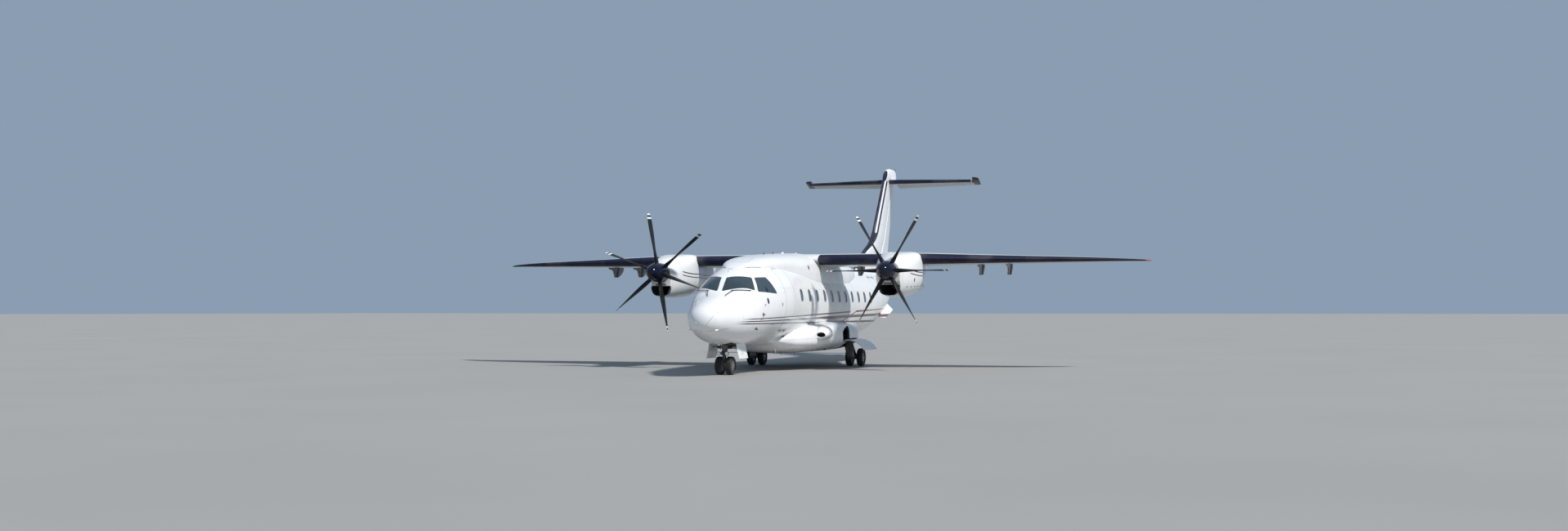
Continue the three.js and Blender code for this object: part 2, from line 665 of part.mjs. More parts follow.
// An oval air intake in the front of a sponson: its raised lip and its mouth.
const INLET = { x: 1440, z: 1022 };
const inletLoft = (side, rows) =>
  loftSolid(rows.map(([at, half, tall]) => oval(at, half, INLET.z, INLET.z + tall, INLET.z - tall, 2, 14, side * INLET.x)));
function sponson(side) {
  const zone = block(side * SPONSON_INNER, 4000, 300, side * 2200, 13000, 1800);
  const room = bellyShape(SPONSON_WALL).intersect(
    block(side * GEAR_BAY.inner, GEAR_BAY.from, GEAR_BAY.bottom, side * 2200, GEAR_BAY.to, GEAR_BAY.top),
  );
  const mouth = block(
    side * GEAR_BAY.inner, GEAR_BAY.open, GEAR_BAY.bottom, side * 2200, GEAR_BAY.to, GEAR_BAY.wall,
  );
  const ring = (x) => GEAR_NOTCH.map(([at, height]) => new THREE.Vector3(side * x, at, height));
  const notch = loftSolid([ring(1400), ring(2200)]);
  const lip = inletLoft(side, [[5700, 168, 92], [5760, 186, 106], [6100, 190, 112], [6700, 170, 100]]);
  const inlet = inletLoft(side, [[5300, 150, 76], [5900, 150, 76], [6500, 70, 50]]);
  return join(cut(join(bellyBody().intersect(zone), lip), room, mouth, notch, inlet), jackPad(side * 1250, 7000, 545));
}
const bellyFairing = () =>
  bellyBody().intersect(block(-SPONSON_INNER + SEAT, 4000, 300, SPONSON_INNER - SEAT, 13000, 1800));

// Nacelles, engines and propellers

const HUB = { x: 3500, y: 5640, z: 2850 };
// station, half width, top, middle, bottom, upper squareness
const NACELLE = [
  [5870, 300, 3140, 2700, 2190, 2.2],
  [6100, 430, 3255, 2720, 2150, 2.4],
  [6500, 555, 3355, 2740, 2120, 3],
  [6900, 630, 3405, 2760, 2115, 4],
  [7250, 660, 3440, 2780, 2125, 5],
  [7800, 510, 3450, 2800, 2170, 5],
  [8400, 400, 3440, 2830, 2270, 4],
  [9200, 300, 3390, 2900, 2520, 3],
  [9900, 210, 3270, 2990, 2790, 2.4],
  [10400, 80, 3150, 3060, 3000, 2.2],
];
const NACELLE_KEEL = 2.3;
const ENGINE = { from: 6150, to: 7900, halfWidth: 330, bottom: 2520, top: 3020 };
const SHAFT = { radius: 75, bore: 90 };
const INTAKE = { halfWidth: 265, top: 2500, bottom: 2235, depth: 900 };

function nacelleBody(side) {
  return loftSolid(
    NACELLE.map(([at, halfWidth, top, middle, bottom, square]) =>
      oval(at, halfWidth, middle, top, bottom, [square, NACELLE_KEEL], 20, side * HUB.x),
    ),
  );
}
function nacelle(side) {
  const x = side * HUB.x;
  const wingRoom = wingStretch(side, NACELLE_SIDES[0] - 400, 4900, grownProfile);
  const engineBay = block(
    x - ENGINE.halfWidth - 40, ENGINE.from - 60, ENGINE.bottom - SEAT, x + ENGINE.halfWidth + 40, ENGINE.to + SEAT,
    ENGINE.top + 40,
  );
  const bore = bar([x, 5700, HUB.z], [x, ENGINE.from, HUB.z], SHAFT.bore);
  const mouth = loftSolid(
    [[5800, 1], [5870 + INTAKE.depth, 0.55]].map(([at, size]) =>
      [[-1, 0.55], [-0.8, 1], [-0.35, 0.78], [0.35, 0.78], [0.8, 1], [1, 0.55], [0.75, 0], [-0.75, 0]].map(([u, v]) =>
        new THREE.Vector3(
          x + u * INTAKE.halfWidth * size, at, INTAKE.bottom + 40 * (1 - size) + v * (INTAKE.top - INTAKE.bottom) * size,
        ),
      ),
    ),
  );
  return cut(nacelleBody(side), wingRoom, engineBay, bore, mouth, ductAt(side, SEAT, DUCT.end + 900));
}

// The engine as one block, with its exhaust duct out through the nacelle's outer side.
const DUCT = { radius: 118, bore: 100, end: 9050 };
function ductAt(side, grow, rear) {
  const x = side * HUB.x;
  const radius = DUCT.radius + grow;
  const run = (rear - 8180) / 870;
  return join(
    bar([x + side * 60, 7650 - grow, 2660], [x + side * 150, 8250 + grow, 2500], radius, radius, 12),
    bar([x + side * 145, 8180 - 2 * grow, 2512], [x + side * (145 + 45 * run), rear, 2512 - 72 * run], radius, radius, 12),
  );
}
function engine(side) {
  const x = side * HUB.x;
  const core = block(
    x - ENGINE.halfWidth, ENGINE.from, ENGINE.bottom, x + ENGINE.halfWidth, ENGINE.to, ENGINE.top,
  );
  const bore = bar([x + side * 165, 8600, 2478], [x + side * 191, 9100, 2436], DUCT.bore, DUCT.bore, 12);
  return join(core, cut(ductAt(side, 0, DUCT.end), bore));
}

const BLADES = 6;
const SPINNER = { radius: 285, tip: -640, rear: 205, wall: 14 };
const HUB_RADIUS = 190;
const SHANK = 62;
// radius, chord, thickness, blade angle in degrees from the disc, sweep of the mid-chord aft
const BLADE = [
  [HUB_RADIUS - 30, 2 * SHANK, 2 * SHANK, 90, 0],
  [310, 2 * SHANK, 2 * SHANK, 90, 0],
  [470, 190, 95, 104, 0],
  [700, 265, 55, 99, 4],
  [1050, 290, 34, 91, 8],
  [1400, 262, 22, 84, 4],
  [1680, 205, 14, 79, -8],
  [1795, 110, 9, 77, -20],
];
const BLADE_POINTS = 6;
function blade() {
  return loftSolid(
    BLADE.map(([radius, chord, thick, angle]) => {
      const pitch = THREE.MathUtils.degToRad(angle);
      return Array.from({ length: BLADE_POINTS }, (_, i) => {
        const around = (2 * Math.PI * i) / BLADE_POINTS;
        const [along, across] = [(chord / 2) * Math.cos(around), (thick / 2) * Math.sin(around)];
        return new THREE.Vector3(
          along * Math.cos(pitch) - across * Math.sin(pitch), along * Math.sin(pitch) + across * Math.cos(pitch), radius,
        );
      });
    }),
  );
}
const aroundHub = (solid, turn) => solid.rotate([0, turn, 0]);
function bladeSet() {
  const hub = bar([0, -150, 0], [0, 150, 0], HUB_RADIUS, HUB_RADIUS, 18);
  const shaft = bar([0, 100, 0], [0, ENGINE.from - HUB.y - SEAT, 0], SHAFT.radius, SHAFT.radius, 12);
  const one = blade();
  return join(hub, shaft, ...Array.from({ length: BLADES }, (_, i) => aroundHub(one, (360 / BLADES) * i)));
}
function spinner() {
  const steps = 5;
  const outside = Array.from({ length: steps }, (_, i) => {
    const angle = (Math.PI / 2) * (i / (steps - 1));
    return [SPINNER.tip + (1 - Math.cos(angle)) * (-SPINNER.tip - 60), SPINNER.radius * Math.sin(angle)];
  });
  const inner = SPINNER.radius - SPINNER.wall;
  const profile = [
    ...outside,
    [SPINNER.rear, SPINNER.radius],
    [SPINNER.rear, inner],
    [-150 - SEAT, inner],
    [-150 - SEAT, 0],
  ];
  const holes = Array.from({ length: BLADES }, (_, i) =>
    aroundHub(bar([0, 0, 200], [0, 0, 400], SHANK + 14, SHANK + 14, 6), (360 / BLADES) * i),
  );
  const dome = turned(profile, 18).rotate([0, 0, 90]);
  return cut(dome, ...holes);
}

// Tail

// height, leading edge station, trailing edge station, thickness share
const FIN = [
  [3080, 14900, 19760, 0.055],
  [3500, 15650, 19890, 0.065],
  [3850, 16350, 20010, 0.08],
  [4150, 17150, 20110, 0.1],
  [4600, 17790, 20270, 0.12],
  [6560, 19310, 20975, 0.125],
];
const RUDDER = { from: 3330, to: 6400, hingeLow: [3930, 18680], hingeHigh: [5900, 20000] };
const rudderHinge = (height) => {
  const [[z0, y0], [z1, y1]] = [RUDDER.hingeLow, RUDDER.hingeHigh];
  return y0 + ((y1 - y0) * (height - z0)) / (z1 - z0);
};
const RUDDER_LEAN = (rudderHinge(1000) - rudderHinge(0)) / 1000;
const RUDDER_STRETCH = Math.hypot(1, RUDDER_LEAN);
const finSection = (height) => {
  const [leading, trailing, thickness] = [1, 2, 3].map((column) => read(FIN, height, column));
  return section(leading, trailing - leading, 0, thickness, 0, 0);
};
function finStretch(from, to, profile) {
  const heights = [from, ...FIN.map((row) => row[0]).filter((z) => z > from && z < to), to];
  return loftSolid(
    heights.map((z) => profile(finSection(z), z).map(([aft, across]) => new THREE.Vector3(across, aft, z))),
  );
}
const rudderAxis = new THREE.Vector3(0, RUDDER_LEAN, 1).normalize();
const rudderBrackets = () =>
  [3800, 4800, 5900].map((z) =>
    bracketAt([0, rudderHinge(z), z], rudderAxis, new THREE.Vector3(0, rudderAxis.z, -rudderAxis.y), 180),
  );
const TAILPLANE_ROOT = 6600;
function fin() {
  const fixed = (part, z) => fixedProfile(part, rudderHinge(z), RUDDER_STRETCH);
  const body = join(
    finStretch(3080, RUDDER.from - 20, wholeProfile),
    finStretch(RUDDER.from - 20, RUDDER.to + 50, fixed),
    finStretch(RUDDER.to + 50, TAILPLANE_ROOT, wholeProfile),
    ...rudderBrackets().map((bracket) => bracket.fixed),
  );
  return cut(body, hull(14000, 20300, -SEAT), tailplaneRoom());
}
const rudder = () =>
  cut(
    finStretch(RUDDER.from, RUDDER.to, (part, z) => hingedProfile(part, rudderHinge(z), RUDDER_STRETCH)),
    ...rudderBrackets().map((bracket) => bracket.room),
  );

// distance from the centreline, leading edge station, chord, height, thickness share
const TAILPLANE = [
  [0, 19740, 1530, 6610, 0.12],
  [3220, 20200, 860, 6605, 0.12],
];
// the elevator's balance horn at its tip, with the same columns
const HORN = [
  [3165, 20390, 680, 6605, 0.14],
  [3330, 20410, 650, 6605, 0.13],
  [3395, 20480, 560, 6605, 0.09],
];
const ELEVATOR = { hinge: 20770, from: 190, horn: 3165, droop: 20 };
const tailSection = (x) => section(...[1, 2, 3, 4].map((column) => read(TAILPLANE, x, column)), 0, 0);
function tailStretch(from, to, profile) {
  const stations = [from, ...TAILPLANE.map((row) => row[0]).filter((x) => x > from && x < to), to];
  return loftSolid(
    stations.map((x) => profile(tailSection(Math.abs(x))).map(([aft, up]) => new THREE.Vector3(x, aft, up))),
  );
}
const mirrored = (solid, side) => (side > 0 ? solid : solid.mirror([1, 0, 0]));
const elevatorBrackets = () =>
  [600, 2600].map((x) =>
    bracketAt([x, ELEVATOR.hinge, 6605], new THREE.Vector3(1, 0, 0), AFT),
  );
function tailplane() {
  const fixed = (part) => fixedProfile(part, ELEVATOR.hinge);
  const half = join(
    tailStretch(-5, ELEVATOR.from - END_GAP, wholeProfile),
    tailStretch(ELEVATOR.from - END_GAP, ELEVATOR.horn - END_GAP, fixed),
    ...elevatorBrackets().map((bracket) => bracket.fixed),
  );
  return join(half, half.mirror([1, 0, 0]));
}
// The elevator with its horn at the tip; it hangs by the droop angle when parked.
function elevator(side) {
  const surface = cut(
    tailStretch(ELEVATOR.from, ELEVATOR.horn + 5, (part) => hingedProfile(part, ELEVATOR.hinge)),
    ...elevatorBrackets().map((bracket) => bracket.room),
  );
  const horn = loftSolid(
    HORN.map(([x, ...row]) => wholeProfile(section(...row, 0, 0)).map(([aft, up]) => new THREE.Vector3(x, aft, up))),
  );
  const level = join(surface, horn);
  const hung = level
    .translate([0, -ELEVATOR.hinge, -6605])
    .rotate([-ELEVATOR.droop, 0, 0])
    .translate([0, ELEVATOR.hinge, 6605]);
  return mirrored(hung, side);
}
const tailplaneRoom = () => tailStretch(-400, 400, grownProfile);

// The fin's tip over the tailplane, drawn out aft into a bullet.
// station, half width, bottom, top
const BULLET = [
  [19330, 20, 6600, 6650],
  [19480, 70, 6560, 6790],
  [19680, 105, 6520, 6960],
  [19900, 125, 6510, 7070],
  [20200, 140, 6500, 7120],
  [20750, 125, 6500, 7130],
  [21080, 75, 6540, 7110],
  [21130, 30, 6900, 7130],
  [21180, 24, 6930, HEIGHT],
  [LENGTH, 18, 6930, HEIGHT],
];
function finTip() {
  const body = loftSolid(
    BULLET.map(([at, halfWidth, bottom, top]) => oval(at, halfWidth, (top + bottom) / 2, top, bottom, 2.4, 16)),
  );
  const above = join(
    block(-500, 19000, TAILPLANE_ROOT + SEAT, 500, 19760, 7500),
    block(-500, 19700, 6611, 500, 22000, 7500),
  );
  return cut(body.intersect(above), tailplaneRoom());
}

// Strakes under the tail, canted out and down.
function strake(side) {
  const corners = [[14850, 0], [15150, 240], [16450, 310], [16900, 0]];
  const plate = (offset) =>
    corners.map(([at, out]) => {
      const height = 1500 + (at - 14850) * 0.24;
      const root = skinX(at, height) - 20;
      return new THREE.Vector3(side * (root + out * 0.93 + offset * 0.3), at, height - out * 0.42 + offset);
    });
  return cut(loftSolid([plate(-16), plate(16)]), hull(CENTRE_END, 18000, -SEAT));
}

// Landing gear

const NOSE_WHEEL = { radius: 247, width: 172, rim: 128, offset: 147, axle: 28, boss: 48 };
const MAIN_WHEEL = { radius: 275, width: 186, rim: 132, offset: 178, axle: 36, boss: 72 };
const WHEEL_SIDES = 20;
const ONTO_FLATS = 180 / WHEEL_SIDES; // a flat of the tread is at the bottom
const ROUND = 1 / Math.cos(Math.PI / WHEEL_SIDES);

// A tyre about the X axis at a distance along it, open in the middle for its rim.
function tyre({ radius, width, rim, offset }, way) {
  const [half, shoulder, crown] = [width / 2, width * 0.36, radius * ROUND];
  const profile = [
    [-half * 0.78, rim], [-half, radius * 0.8], [-shoulder, radius * 0.965], [-shoulder * 0.5, crown],
    [shoulder * 0.5, crown], [shoulder, radius * 0.965], [half, radius * 0.8], [half * 0.78, rim], [-half * 0.78, rim],
  ];
  return turned(profile, WHEEL_SIDES).rotate([ONTO_FLATS, 0, 0]).translate([way * offset, 0, 0]);
}
// Both rims of a pair of wheels and the axle they turn with.
function hubPair({ width, rim, offset, axle }) {
  const half = width * 0.39;
  const profile = [
    [-half, 0], [-half, rim * 0.5], [-half * 0.6, rim * 0.62], [-half, rim - SEAT],
    [half, rim - SEAT], [half * 0.35, rim * 0.62], [half, rim * 0.5], [half, 0],
  ];
  const wheel = turned(profile, WHEEL_SIDES).rotate([ONTO_FLATS, 0, 0]);
  return join(
    bar([-offset, 0, 0], [offset, 0, 0], axle, axle, 16),
    ...[-1, 1].map((way) => (way > 0 ? wheel : wheel.mirror([1, 0, 0])).translate([way * offset, 0, 0])),
  );
}
// The bearing in a leg for that axle: its boss and its bore.
const BEARING_WALL = 24;
const bearing = ({ boss, axle, radius }) => ({
  ring: bar([-boss, 0, radius], [boss, 0, radius], axle + BEARING_WALL, axle + BEARING_WALL, 16),
  bore: bar([-boss - 5, 0, radius], [boss + 5, 0, radius], axle + 1, axle + 1, 16),
});

const NOSE_TRAIL = 55;
const NOSE_COLLAR = 640; // where the turning part of the nose leg meets the fixed part
// Fixed upper part of the nose leg, with its drag brace, hung from the roof of its bay.
function noseLegUpper() {
  const axisY = -NOSE_TRAIL;
  const leg = join(
    bar([0, axisY, NOSE_COLLAR], [0, axisY, NOSE_BAY.ceiling + 50], 72, 72, 12),
    bar([-NOSE_BAY.halfWidth - 50, axisY, 1220], [NOSE_BAY.halfWidth + 50, axisY, 1220], 40),
    bar([0, axisY, 800], [0, 520, 1240], 30),
    bar([-220, 520, 1240], [220, 520, 1240], 26),
    ...[-1, 1].map((way) => bar([way * 215, 520, 1240], [way * 215, 520, NOSE_BAY.ceiling + 50], 26)),
  );
  const half = NOSE_BAY.halfWidth - SEAT;
  return leg.intersect(block(-half, -500, 0, half, 600, NOSE_BAY.ceiling - SEAT));
}
// The steered part: collar, piston, torque link, fork with the axle's bearing, and the towing spool in front.
const TOW_SPOOL = { halfLength: 90, radius: 22, y: -150, z: 300 };
function noseLegLower() {
  const axisY = -NOSE_TRAIL;
  const { ring, bore } = bearing(NOSE_WHEEL);
  const { halfLength, radius, y, z } = TOW_SPOOL;
  const spoolHalf = Math.min(halfLength, NOSE_WHEEL.offset - NOSE_WHEEL.width / 2 - 8);
  const leg = join(
    bar([0, axisY, 520], [0, axisY, NOSE_COLLAR - SEAT], 88, 88, 12),
    bar([0, axisY, NOSE_WHEEL.radius - 30], [0, axisY, 560], 46, 46, 12),
    bar([0, axisY - 60, 545], [0, axisY - 170, 430], 18),
    bar([0, axisY - 170, 430], [0, axisY - 30, 330], 18),
    bar([0, axisY, NOSE_WHEEL.radius], [0, 0, NOSE_WHEEL.radius], 44),
    bar([0, axisY, z], [0, y, z], 20),
    bar([-spoolHalf, y, z], [spoolHalf, y, z], radius, radius, 12),
    ring,
  );
  return cut(leg, bore);
}
// Main leg: a post ahead of the wheels, a trailing arm back to the axle and a shock absorber over it.
const MAIN_POST = { ahead: 440, top: GEAR_BAY.top };
// height, distance inward, half width, half depth of the post
const POST = [
  [MAIN_POST.top + 40, 250, 130, 60],
  [940, 175, 125, 62],
  [620, 80, 140, 60],
  [300, 35, 122, 52],
  [225, 30, 92, 40],
];
function mainLeg(side) {
  const [pivotY, pivotZ] = [-MAIN_POST.ahead, 330];
  const axle = MAIN_WHEEL.radius;
  const { ring, bore } = bearing(MAIN_WHEEL);
  const inward = (amount) => -side * amount;
  const post = loftSolid(
    POST.map(([height, in_, half, deep]) =>
      [[-1, -0.5], [-0.7, -1], [0.7, -1], [1, -0.5], [1, 0.5], [0.7, 1], [-0.7, 1], [-1, 0.5]]
        .map(([u, v]) => new THREE.Vector3(inward(in_) + u * half, pivotY + v * deep, height)),
    ),
  );
  const leg = join(
    post,
    bar([0, pivotY, pivotZ], [0, 0, axle], 52, 58),
    bar([0, -40, axle + 60], [inward(60), pivotY + 90, 800], 46),
    bar([inward(60), pivotY, 830], [inward(60), pivotY + 110, 790], 46),
    bar([inward(120), pivotY, 900], [inward(520), pivotY + 60, 1130], 32),
    ring,
  );
  const [inner, outer] = [GEAR_BAY.inner + SEAT - HALF_TRACK, 600];
  return cut(leg, bore).intersect(block(side * inner, -700, 0, side * outer, 700, MAIN_POST.top - SEAT));
}

// Nose gear doors hang open from the edges of their bay.
const NOSE_DOOR = { from: 1600, to: 2300, thickness: 22 };
function noseDoor(side) {
  const ring = (at) =>
    [[375, 845], [400, 640], [450, 440], [450 + NOSE_DOOR.thickness, 440], [422, 640], [375 + NOSE_DOOR.thickness, 838]]
      .map(([x, z]) => new THREE.Vector3(side * x, at, z));
  return cut(loftSolid([ring(NOSE_DOOR.from), ring(NOSE_DOOR.to)]), hull(RADOME_END, NOSE_END, -SEAT));
}
// A main gear door: a curved panel held out from the lower edge of its bay by two hinge arms.
const MAIN_DOOR = { from: 8040, to: 9600, thickness: 26 };
function mainDoor(side) {
  // distance out and height of the panel's outer face, from the hinge edge to the tip
  const line = [[1500, 790], [1640, 845], [1800, 830], [1960, 770], [2095, 670], [2195, 545]];
  const ring = (at) =>
    [...line, ...line.map(([x, z]) => [x - 8, z - MAIN_DOOR.thickness]).reverse()]
      .map(([x, z]) => new THREE.Vector3(side * x, at, z));
  const panel = loftSolid([ring(MAIN_DOOR.from), ring(MAIN_DOOR.to)]);
  const post = block(
    side * 1300, MAIN_GEAR_STATION - MAIN_POST.ahead - 110, 500, side * 1720, MAIN_GEAR_STATION - MAIN_POST.ahead + 270, 1000,
  );
  const arms = [MAIN_DOOR.from + 60, MAIN_DOOR.to - 60].map((at) =>
    join(
      bar([side * 1530, at, 790], [side * 1300, at, 900], 20),
      bar([side * 1300, at, 900], [side * (GEAR_BAY.inner + SEAT), at, 900], 20),
    ),
  );
  return join(cut(panel, post), ...arms);
}

// Assembly

const aircraft = new THREE.Group();
const airframe = new THREE.Group();
airframe.position.y = -LENGTH / 2;
aircraft.add(airframe);

function piece(name, solid, material, parent = airframe) {
  const mesh = new THREE.Mesh(geometryOf(solid), material);
  mesh.name = name;
  parent.add(mesh);
  return mesh;
}
function groupAt(x, y, z) {
  const group = new THREE.Group();
  group.position.set(x, y, z);
  airframe.add(group);
  return group;
}

piece("radome", hull(0, RADOME_END), WHITE);
piece("nose_section", noseSection(), WHITE);
piece("forward_fuselage", forwardFuselage(), WHITE);
piece("centre_fuselage", hull(FORWARD_END, CENTRE_END), WHITE);
piece("rear_fuselage", rearFuselage(), WHITE);
piece("tail_cone", hull(REAR_END, 20300), WHITE);
piece("flight_deck", flightDeck(), TRIM);
piece("passenger_door", passengerDoor(), WHITE);
piece("baggage_door", baggageDoor(), WHITE);
piece("wing_fairing", wingFairing(), WHITE);
piece("belly_fairing", bellyFairing(), WHITE);
piece("wing_centre", wingCentre(), WHITE);
piece("fin", fin(), WHITE);
piece("rudder", rudder(), WHITE);
piece("tailplane", tailplane(), WHITE);
piece("fin_tip", finTip(), WHITE);

for (const [name, side] of Object.entries(SIDES)) {
  for (const [window, spec] of Object.entries(WINDOWS)) piece(`${window}_${name}`, pane(spec, side), GLASS);
  piece(`sponson_${name}`, sponson(side), WHITE);
  piece(`wing_outer_${name}`, wingOuter(side), WHITE);
  piece(`flap_inner_${name}`, flap(side, ROOT + END_GAP, NACELLE_SIDES[0] - END_GAP, TRACKS.inner), WHITE);
  piece(`flap_outer_${name}`, flap(side, WING_JOINT + END_GAP, FLAP_END, TRACKS.outer), WHITE);
  piece(`aileron_${name}`, aileron(side), WHITE);
  piece(`nacelle_${name}`, nacelle(side), WHITE);
  piece(`engine_${name}`, engine(side), DARK_METAL);
  piece(`elevator_${name}`, elevator(side), WHITE);
  piece(`strake_${name}`, strake(side), WHITE);
  piece(`nose_gear_door_${name}`, noseDoor(side), WHITE);
  piece(`main_gear_door_${name}`, mainDoor(side), WHITE);
}

// Propellers: turned about their shafts to where they stopped.
const PROPELLER_TURN = { left: 30, right: -10 };
for (const [name, side] of Object.entries(SIDES)) {
  const propeller = groupAt(side * HUB.x, HUB.y, HUB.z);
  propeller.rotation.y = THREE.MathUtils.degToRad(PROPELLER_TURN[name]);
  piece(`propeller_blades_${name}`, bladeSet(), BLACK, propeller);
  piece(`spinner_${name}`, spinner(), NAVY, propeller);
}

const noseGear = groupAt(0, NOSE_GEAR_STATION, 0);
piece("nose_leg_upper", noseLegUpper(), METAL, noseGear);
piece("nose_leg_steered", noseLegLower(), METAL, noseGear);
const noseAxle = new THREE.Group();
noseAxle.position.z = NOSE_WHEEL.radius;
noseGear.add(noseAxle);
piece("nose_wheel_hubs", hubPair(NOSE_WHEEL), METAL, noseAxle);
for (const [name, side] of Object.entries(SIDES)) piece(`nose_tyre_${name}`, tyre(NOSE_WHEEL, side), RUBBER, noseAxle);

for (const [name, side] of Object.entries(SIDES)) {
  const gear = groupAt(side * HALF_TRACK, MAIN_GEAR_STATION, 0);
  piece(`main_leg_${name}`, mainLeg(side), METAL, gear);
  const axle = new THREE.Group();
  axle.position.z = MAIN_WHEEL.radius;
  gear.add(axle);
  piece(`main_wheel_hubs_${name}`, hubPair(MAIN_WHEEL), METAL, axle);
  piece(`main_tyre_inner_${name}`, tyre(MAIN_WHEEL, -side), RUBBER, axle);
  piece(`main_tyre_outer_${name}`, tyre(MAIN_WHEEL, side), RUBBER, axle);
}

export default aircraft;
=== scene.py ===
import math

import bmesh
import bpy
import numpy as np
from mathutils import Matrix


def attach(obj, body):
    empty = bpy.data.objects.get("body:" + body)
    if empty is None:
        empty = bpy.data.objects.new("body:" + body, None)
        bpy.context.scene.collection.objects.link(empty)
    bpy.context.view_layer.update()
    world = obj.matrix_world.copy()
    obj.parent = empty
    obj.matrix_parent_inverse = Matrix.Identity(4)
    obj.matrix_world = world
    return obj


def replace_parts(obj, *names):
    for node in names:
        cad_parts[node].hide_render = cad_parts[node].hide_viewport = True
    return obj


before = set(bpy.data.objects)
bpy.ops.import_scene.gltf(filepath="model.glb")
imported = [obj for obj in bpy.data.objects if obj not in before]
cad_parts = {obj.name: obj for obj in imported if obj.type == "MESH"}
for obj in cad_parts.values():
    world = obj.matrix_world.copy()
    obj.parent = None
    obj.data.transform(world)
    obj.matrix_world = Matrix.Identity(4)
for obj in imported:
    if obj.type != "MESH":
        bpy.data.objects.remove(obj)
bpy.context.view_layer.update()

# Camera: the picture is taken with a moderately wide lens from ahead of the left wing tip, at eye height on
# the apron, and held level. The frame is a wide strip with the horizon a little under its middle.
def placed(name, data):
    """A new object in the scene."""
    made = bpy.data.objects.new(name, data)
    bpy.context.scene.collection.objects.link(made)
    return made


PICTURE_WIDTH, LENS, HORIZON = 1918, 1868.187, 55.504
sight = bpy.data.cameras.new("camera")
sight.sensor_width = 36
sight.lens = 36 * LENS / PICTURE_WIDTH
sight.shift_y = HORIZON / PICTURE_WIDTH
sight.clip_end = 2000
camera = placed("camera", sight)
camera.location = (13.793, -47.169, 1.708)
camera.rotation_euler = (math.pi / 2, 0, 0.307)
bpy.context.scene.camera = camera


# Apron and light: a plain floor of pale concrete under an even grey-blue sky, which fills the shadows. One
# broad high light stands on the camera's side.
def node(tree, kind, values=(), **settings):
    """One shader node with its settings; each named or numbered input is joined to a socket or given a
    value."""
    made = tree.nodes.new("ShaderNode" + kind)
    for key, value in settings.items():
        setattr(made, key, value)
    for key, value in dict(values).items():
        if isinstance(value, bpy.types.NodeSocket):
            tree.links.new(value, made.inputs[key])
        else:
            made.inputs[key].default_value = value
    return made


def blend(tree, share, a, b):
    """Colour a where share is 0 and colour b where it is 1."""
    return node(tree, "Mix", {0: share, 6: a, 7: b}, data_type="RGBA").outputs[2]


def material(name, **plain):
    """A material with one Principled shader: its tree, the shader and the Object coordinates; plain values
    are set on the shader's own sockets, named with underscores for spaces."""
    made = bpy.data.materials.new(name)
    made.use_nodes = True
    tree = made.node_tree
    shader = tree.nodes["Principled BSDF"]
    for key, value in plain.items():
        shader.inputs[key.replace("_", " ")].default_value = value
    return made, tree, shader, tree.nodes.new("ShaderNodeTexCoord").outputs["Object"]


def new_mesh(name, points, faces, paints):
    """A mesh from points and lists of faces, with its paints."""
    mesh = bpy.data.meshes.new(name)
    mesh.from_pydata(points, [], faces)
    for paint in paints:
        mesh.materials.append(paint)
    return mesh


apron, tree, shader, place = material("apron", Roughness=0.85)
patches = node(tree, "TexNoise", {"Vector": place, "Scale": 0.15, "Detail": 5.0}).outputs["Fac"]
tree.links.new(
    blend(tree, patches, (0.31, 0.307, 0.297, 1), (0.36, 0.357, 0.347, 1)), shader.inputs["Base Color"]
)
corners = [(-600, -300, 0), (600, -300, 0), (600, 900, 0), (-600, 900, 0)]
floor = placed("floor", new_mesh("floor", corners, [(0, 1, 2, 3)], [apron]))
sky = bpy.data.worlds.new("sky")
sky.use_nodes = True
sky.node_tree.nodes["Background"].inputs["Color"].default_value = (0.44, 0.58, 0.76, 1)
sky.node_tree.nodes["Background"].inputs["Strength"].default_value = 0.58
bpy.context.scene.world = sky
bpy.context.scene.view_settings.view_transform = "Standard"
beam = bpy.data.lights.new("high_light", "SUN")
beam.energy = 3.6
beam.angle = math.radians(5)
beam.color = (1.0, 0.97, 0.93)
placed("high_light", beam).rotation_euler = (math.radians(40), 0, math.radians(66))


# White paint: a glossy two-coat polyurethane over primed aluminium and composite, with sealed joints between
# the panels, rivet rows beside them, thin rain streaks and a little dust. The hull, wings and tail wear it.
def new_group(name, inputs, outputs):
    """An empty shader node group: its tree, its input sockets by name and its output sockets by name."""
    tree = bpy.data.node_groups.new(name, "ShaderNodeTree")
    kinds = {float: "NodeSocketFloat", 3: "NodeSocketVector", 4: "NodeSocketColor"}
    for label, value in inputs.items():
        kind = kinds[float] if isinstance(value, float) else kinds[len(value)]
        tree.interface.new_socket(label, in_out="INPUT", socket_type=kind).default_value = value
    for label, kind in outputs.items():
        tree.interface.new_socket(label, in_out="OUTPUT", socket_type="NodeSocket" + kind)
    return tree, tree.nodes.new("NodeGroupInput").outputs, tree.nodes.new("NodeGroupOutput").inputs


def use_group(tree, group, **values):
    """A placed copy of a group with its own values."""
    return node(tree, "Group", values, node_tree=group).outputs


def calc(tree, operation, *values):
    """One sum: the Math node of that name on the values."""
    return node(tree, "Math", enumerate(values), operation=operation).outputs[0]


def ramp(tree, value, low, high, first=0.0, last=1.0, kind="LINEAR"):
    """A slope: first where value is under low, last where it is over high."""
    inputs = {0: value, 1: low, 2: high, 3: first, 4: last}
    return node(tree, "MapRange", inputs, interpolation_type=kind).outputs[0]


def fade(tree, value, low, high, first=0.0, last=1.0):
    """The same slope with soft ends."""
    return ramp(tree, value, low, high, first, last, "SMOOTHSTEP")


def times(tree, first, *others):
    """The product of several values."""
    for value in others:
        first = calc(tree, "MULTIPLY", first, value)
    return first


def apart(tree, a, b):
    """How far two values are from each other."""
    return calc(tree, "ABSOLUTE", calc(tree, "SUBTRACT", a, b))


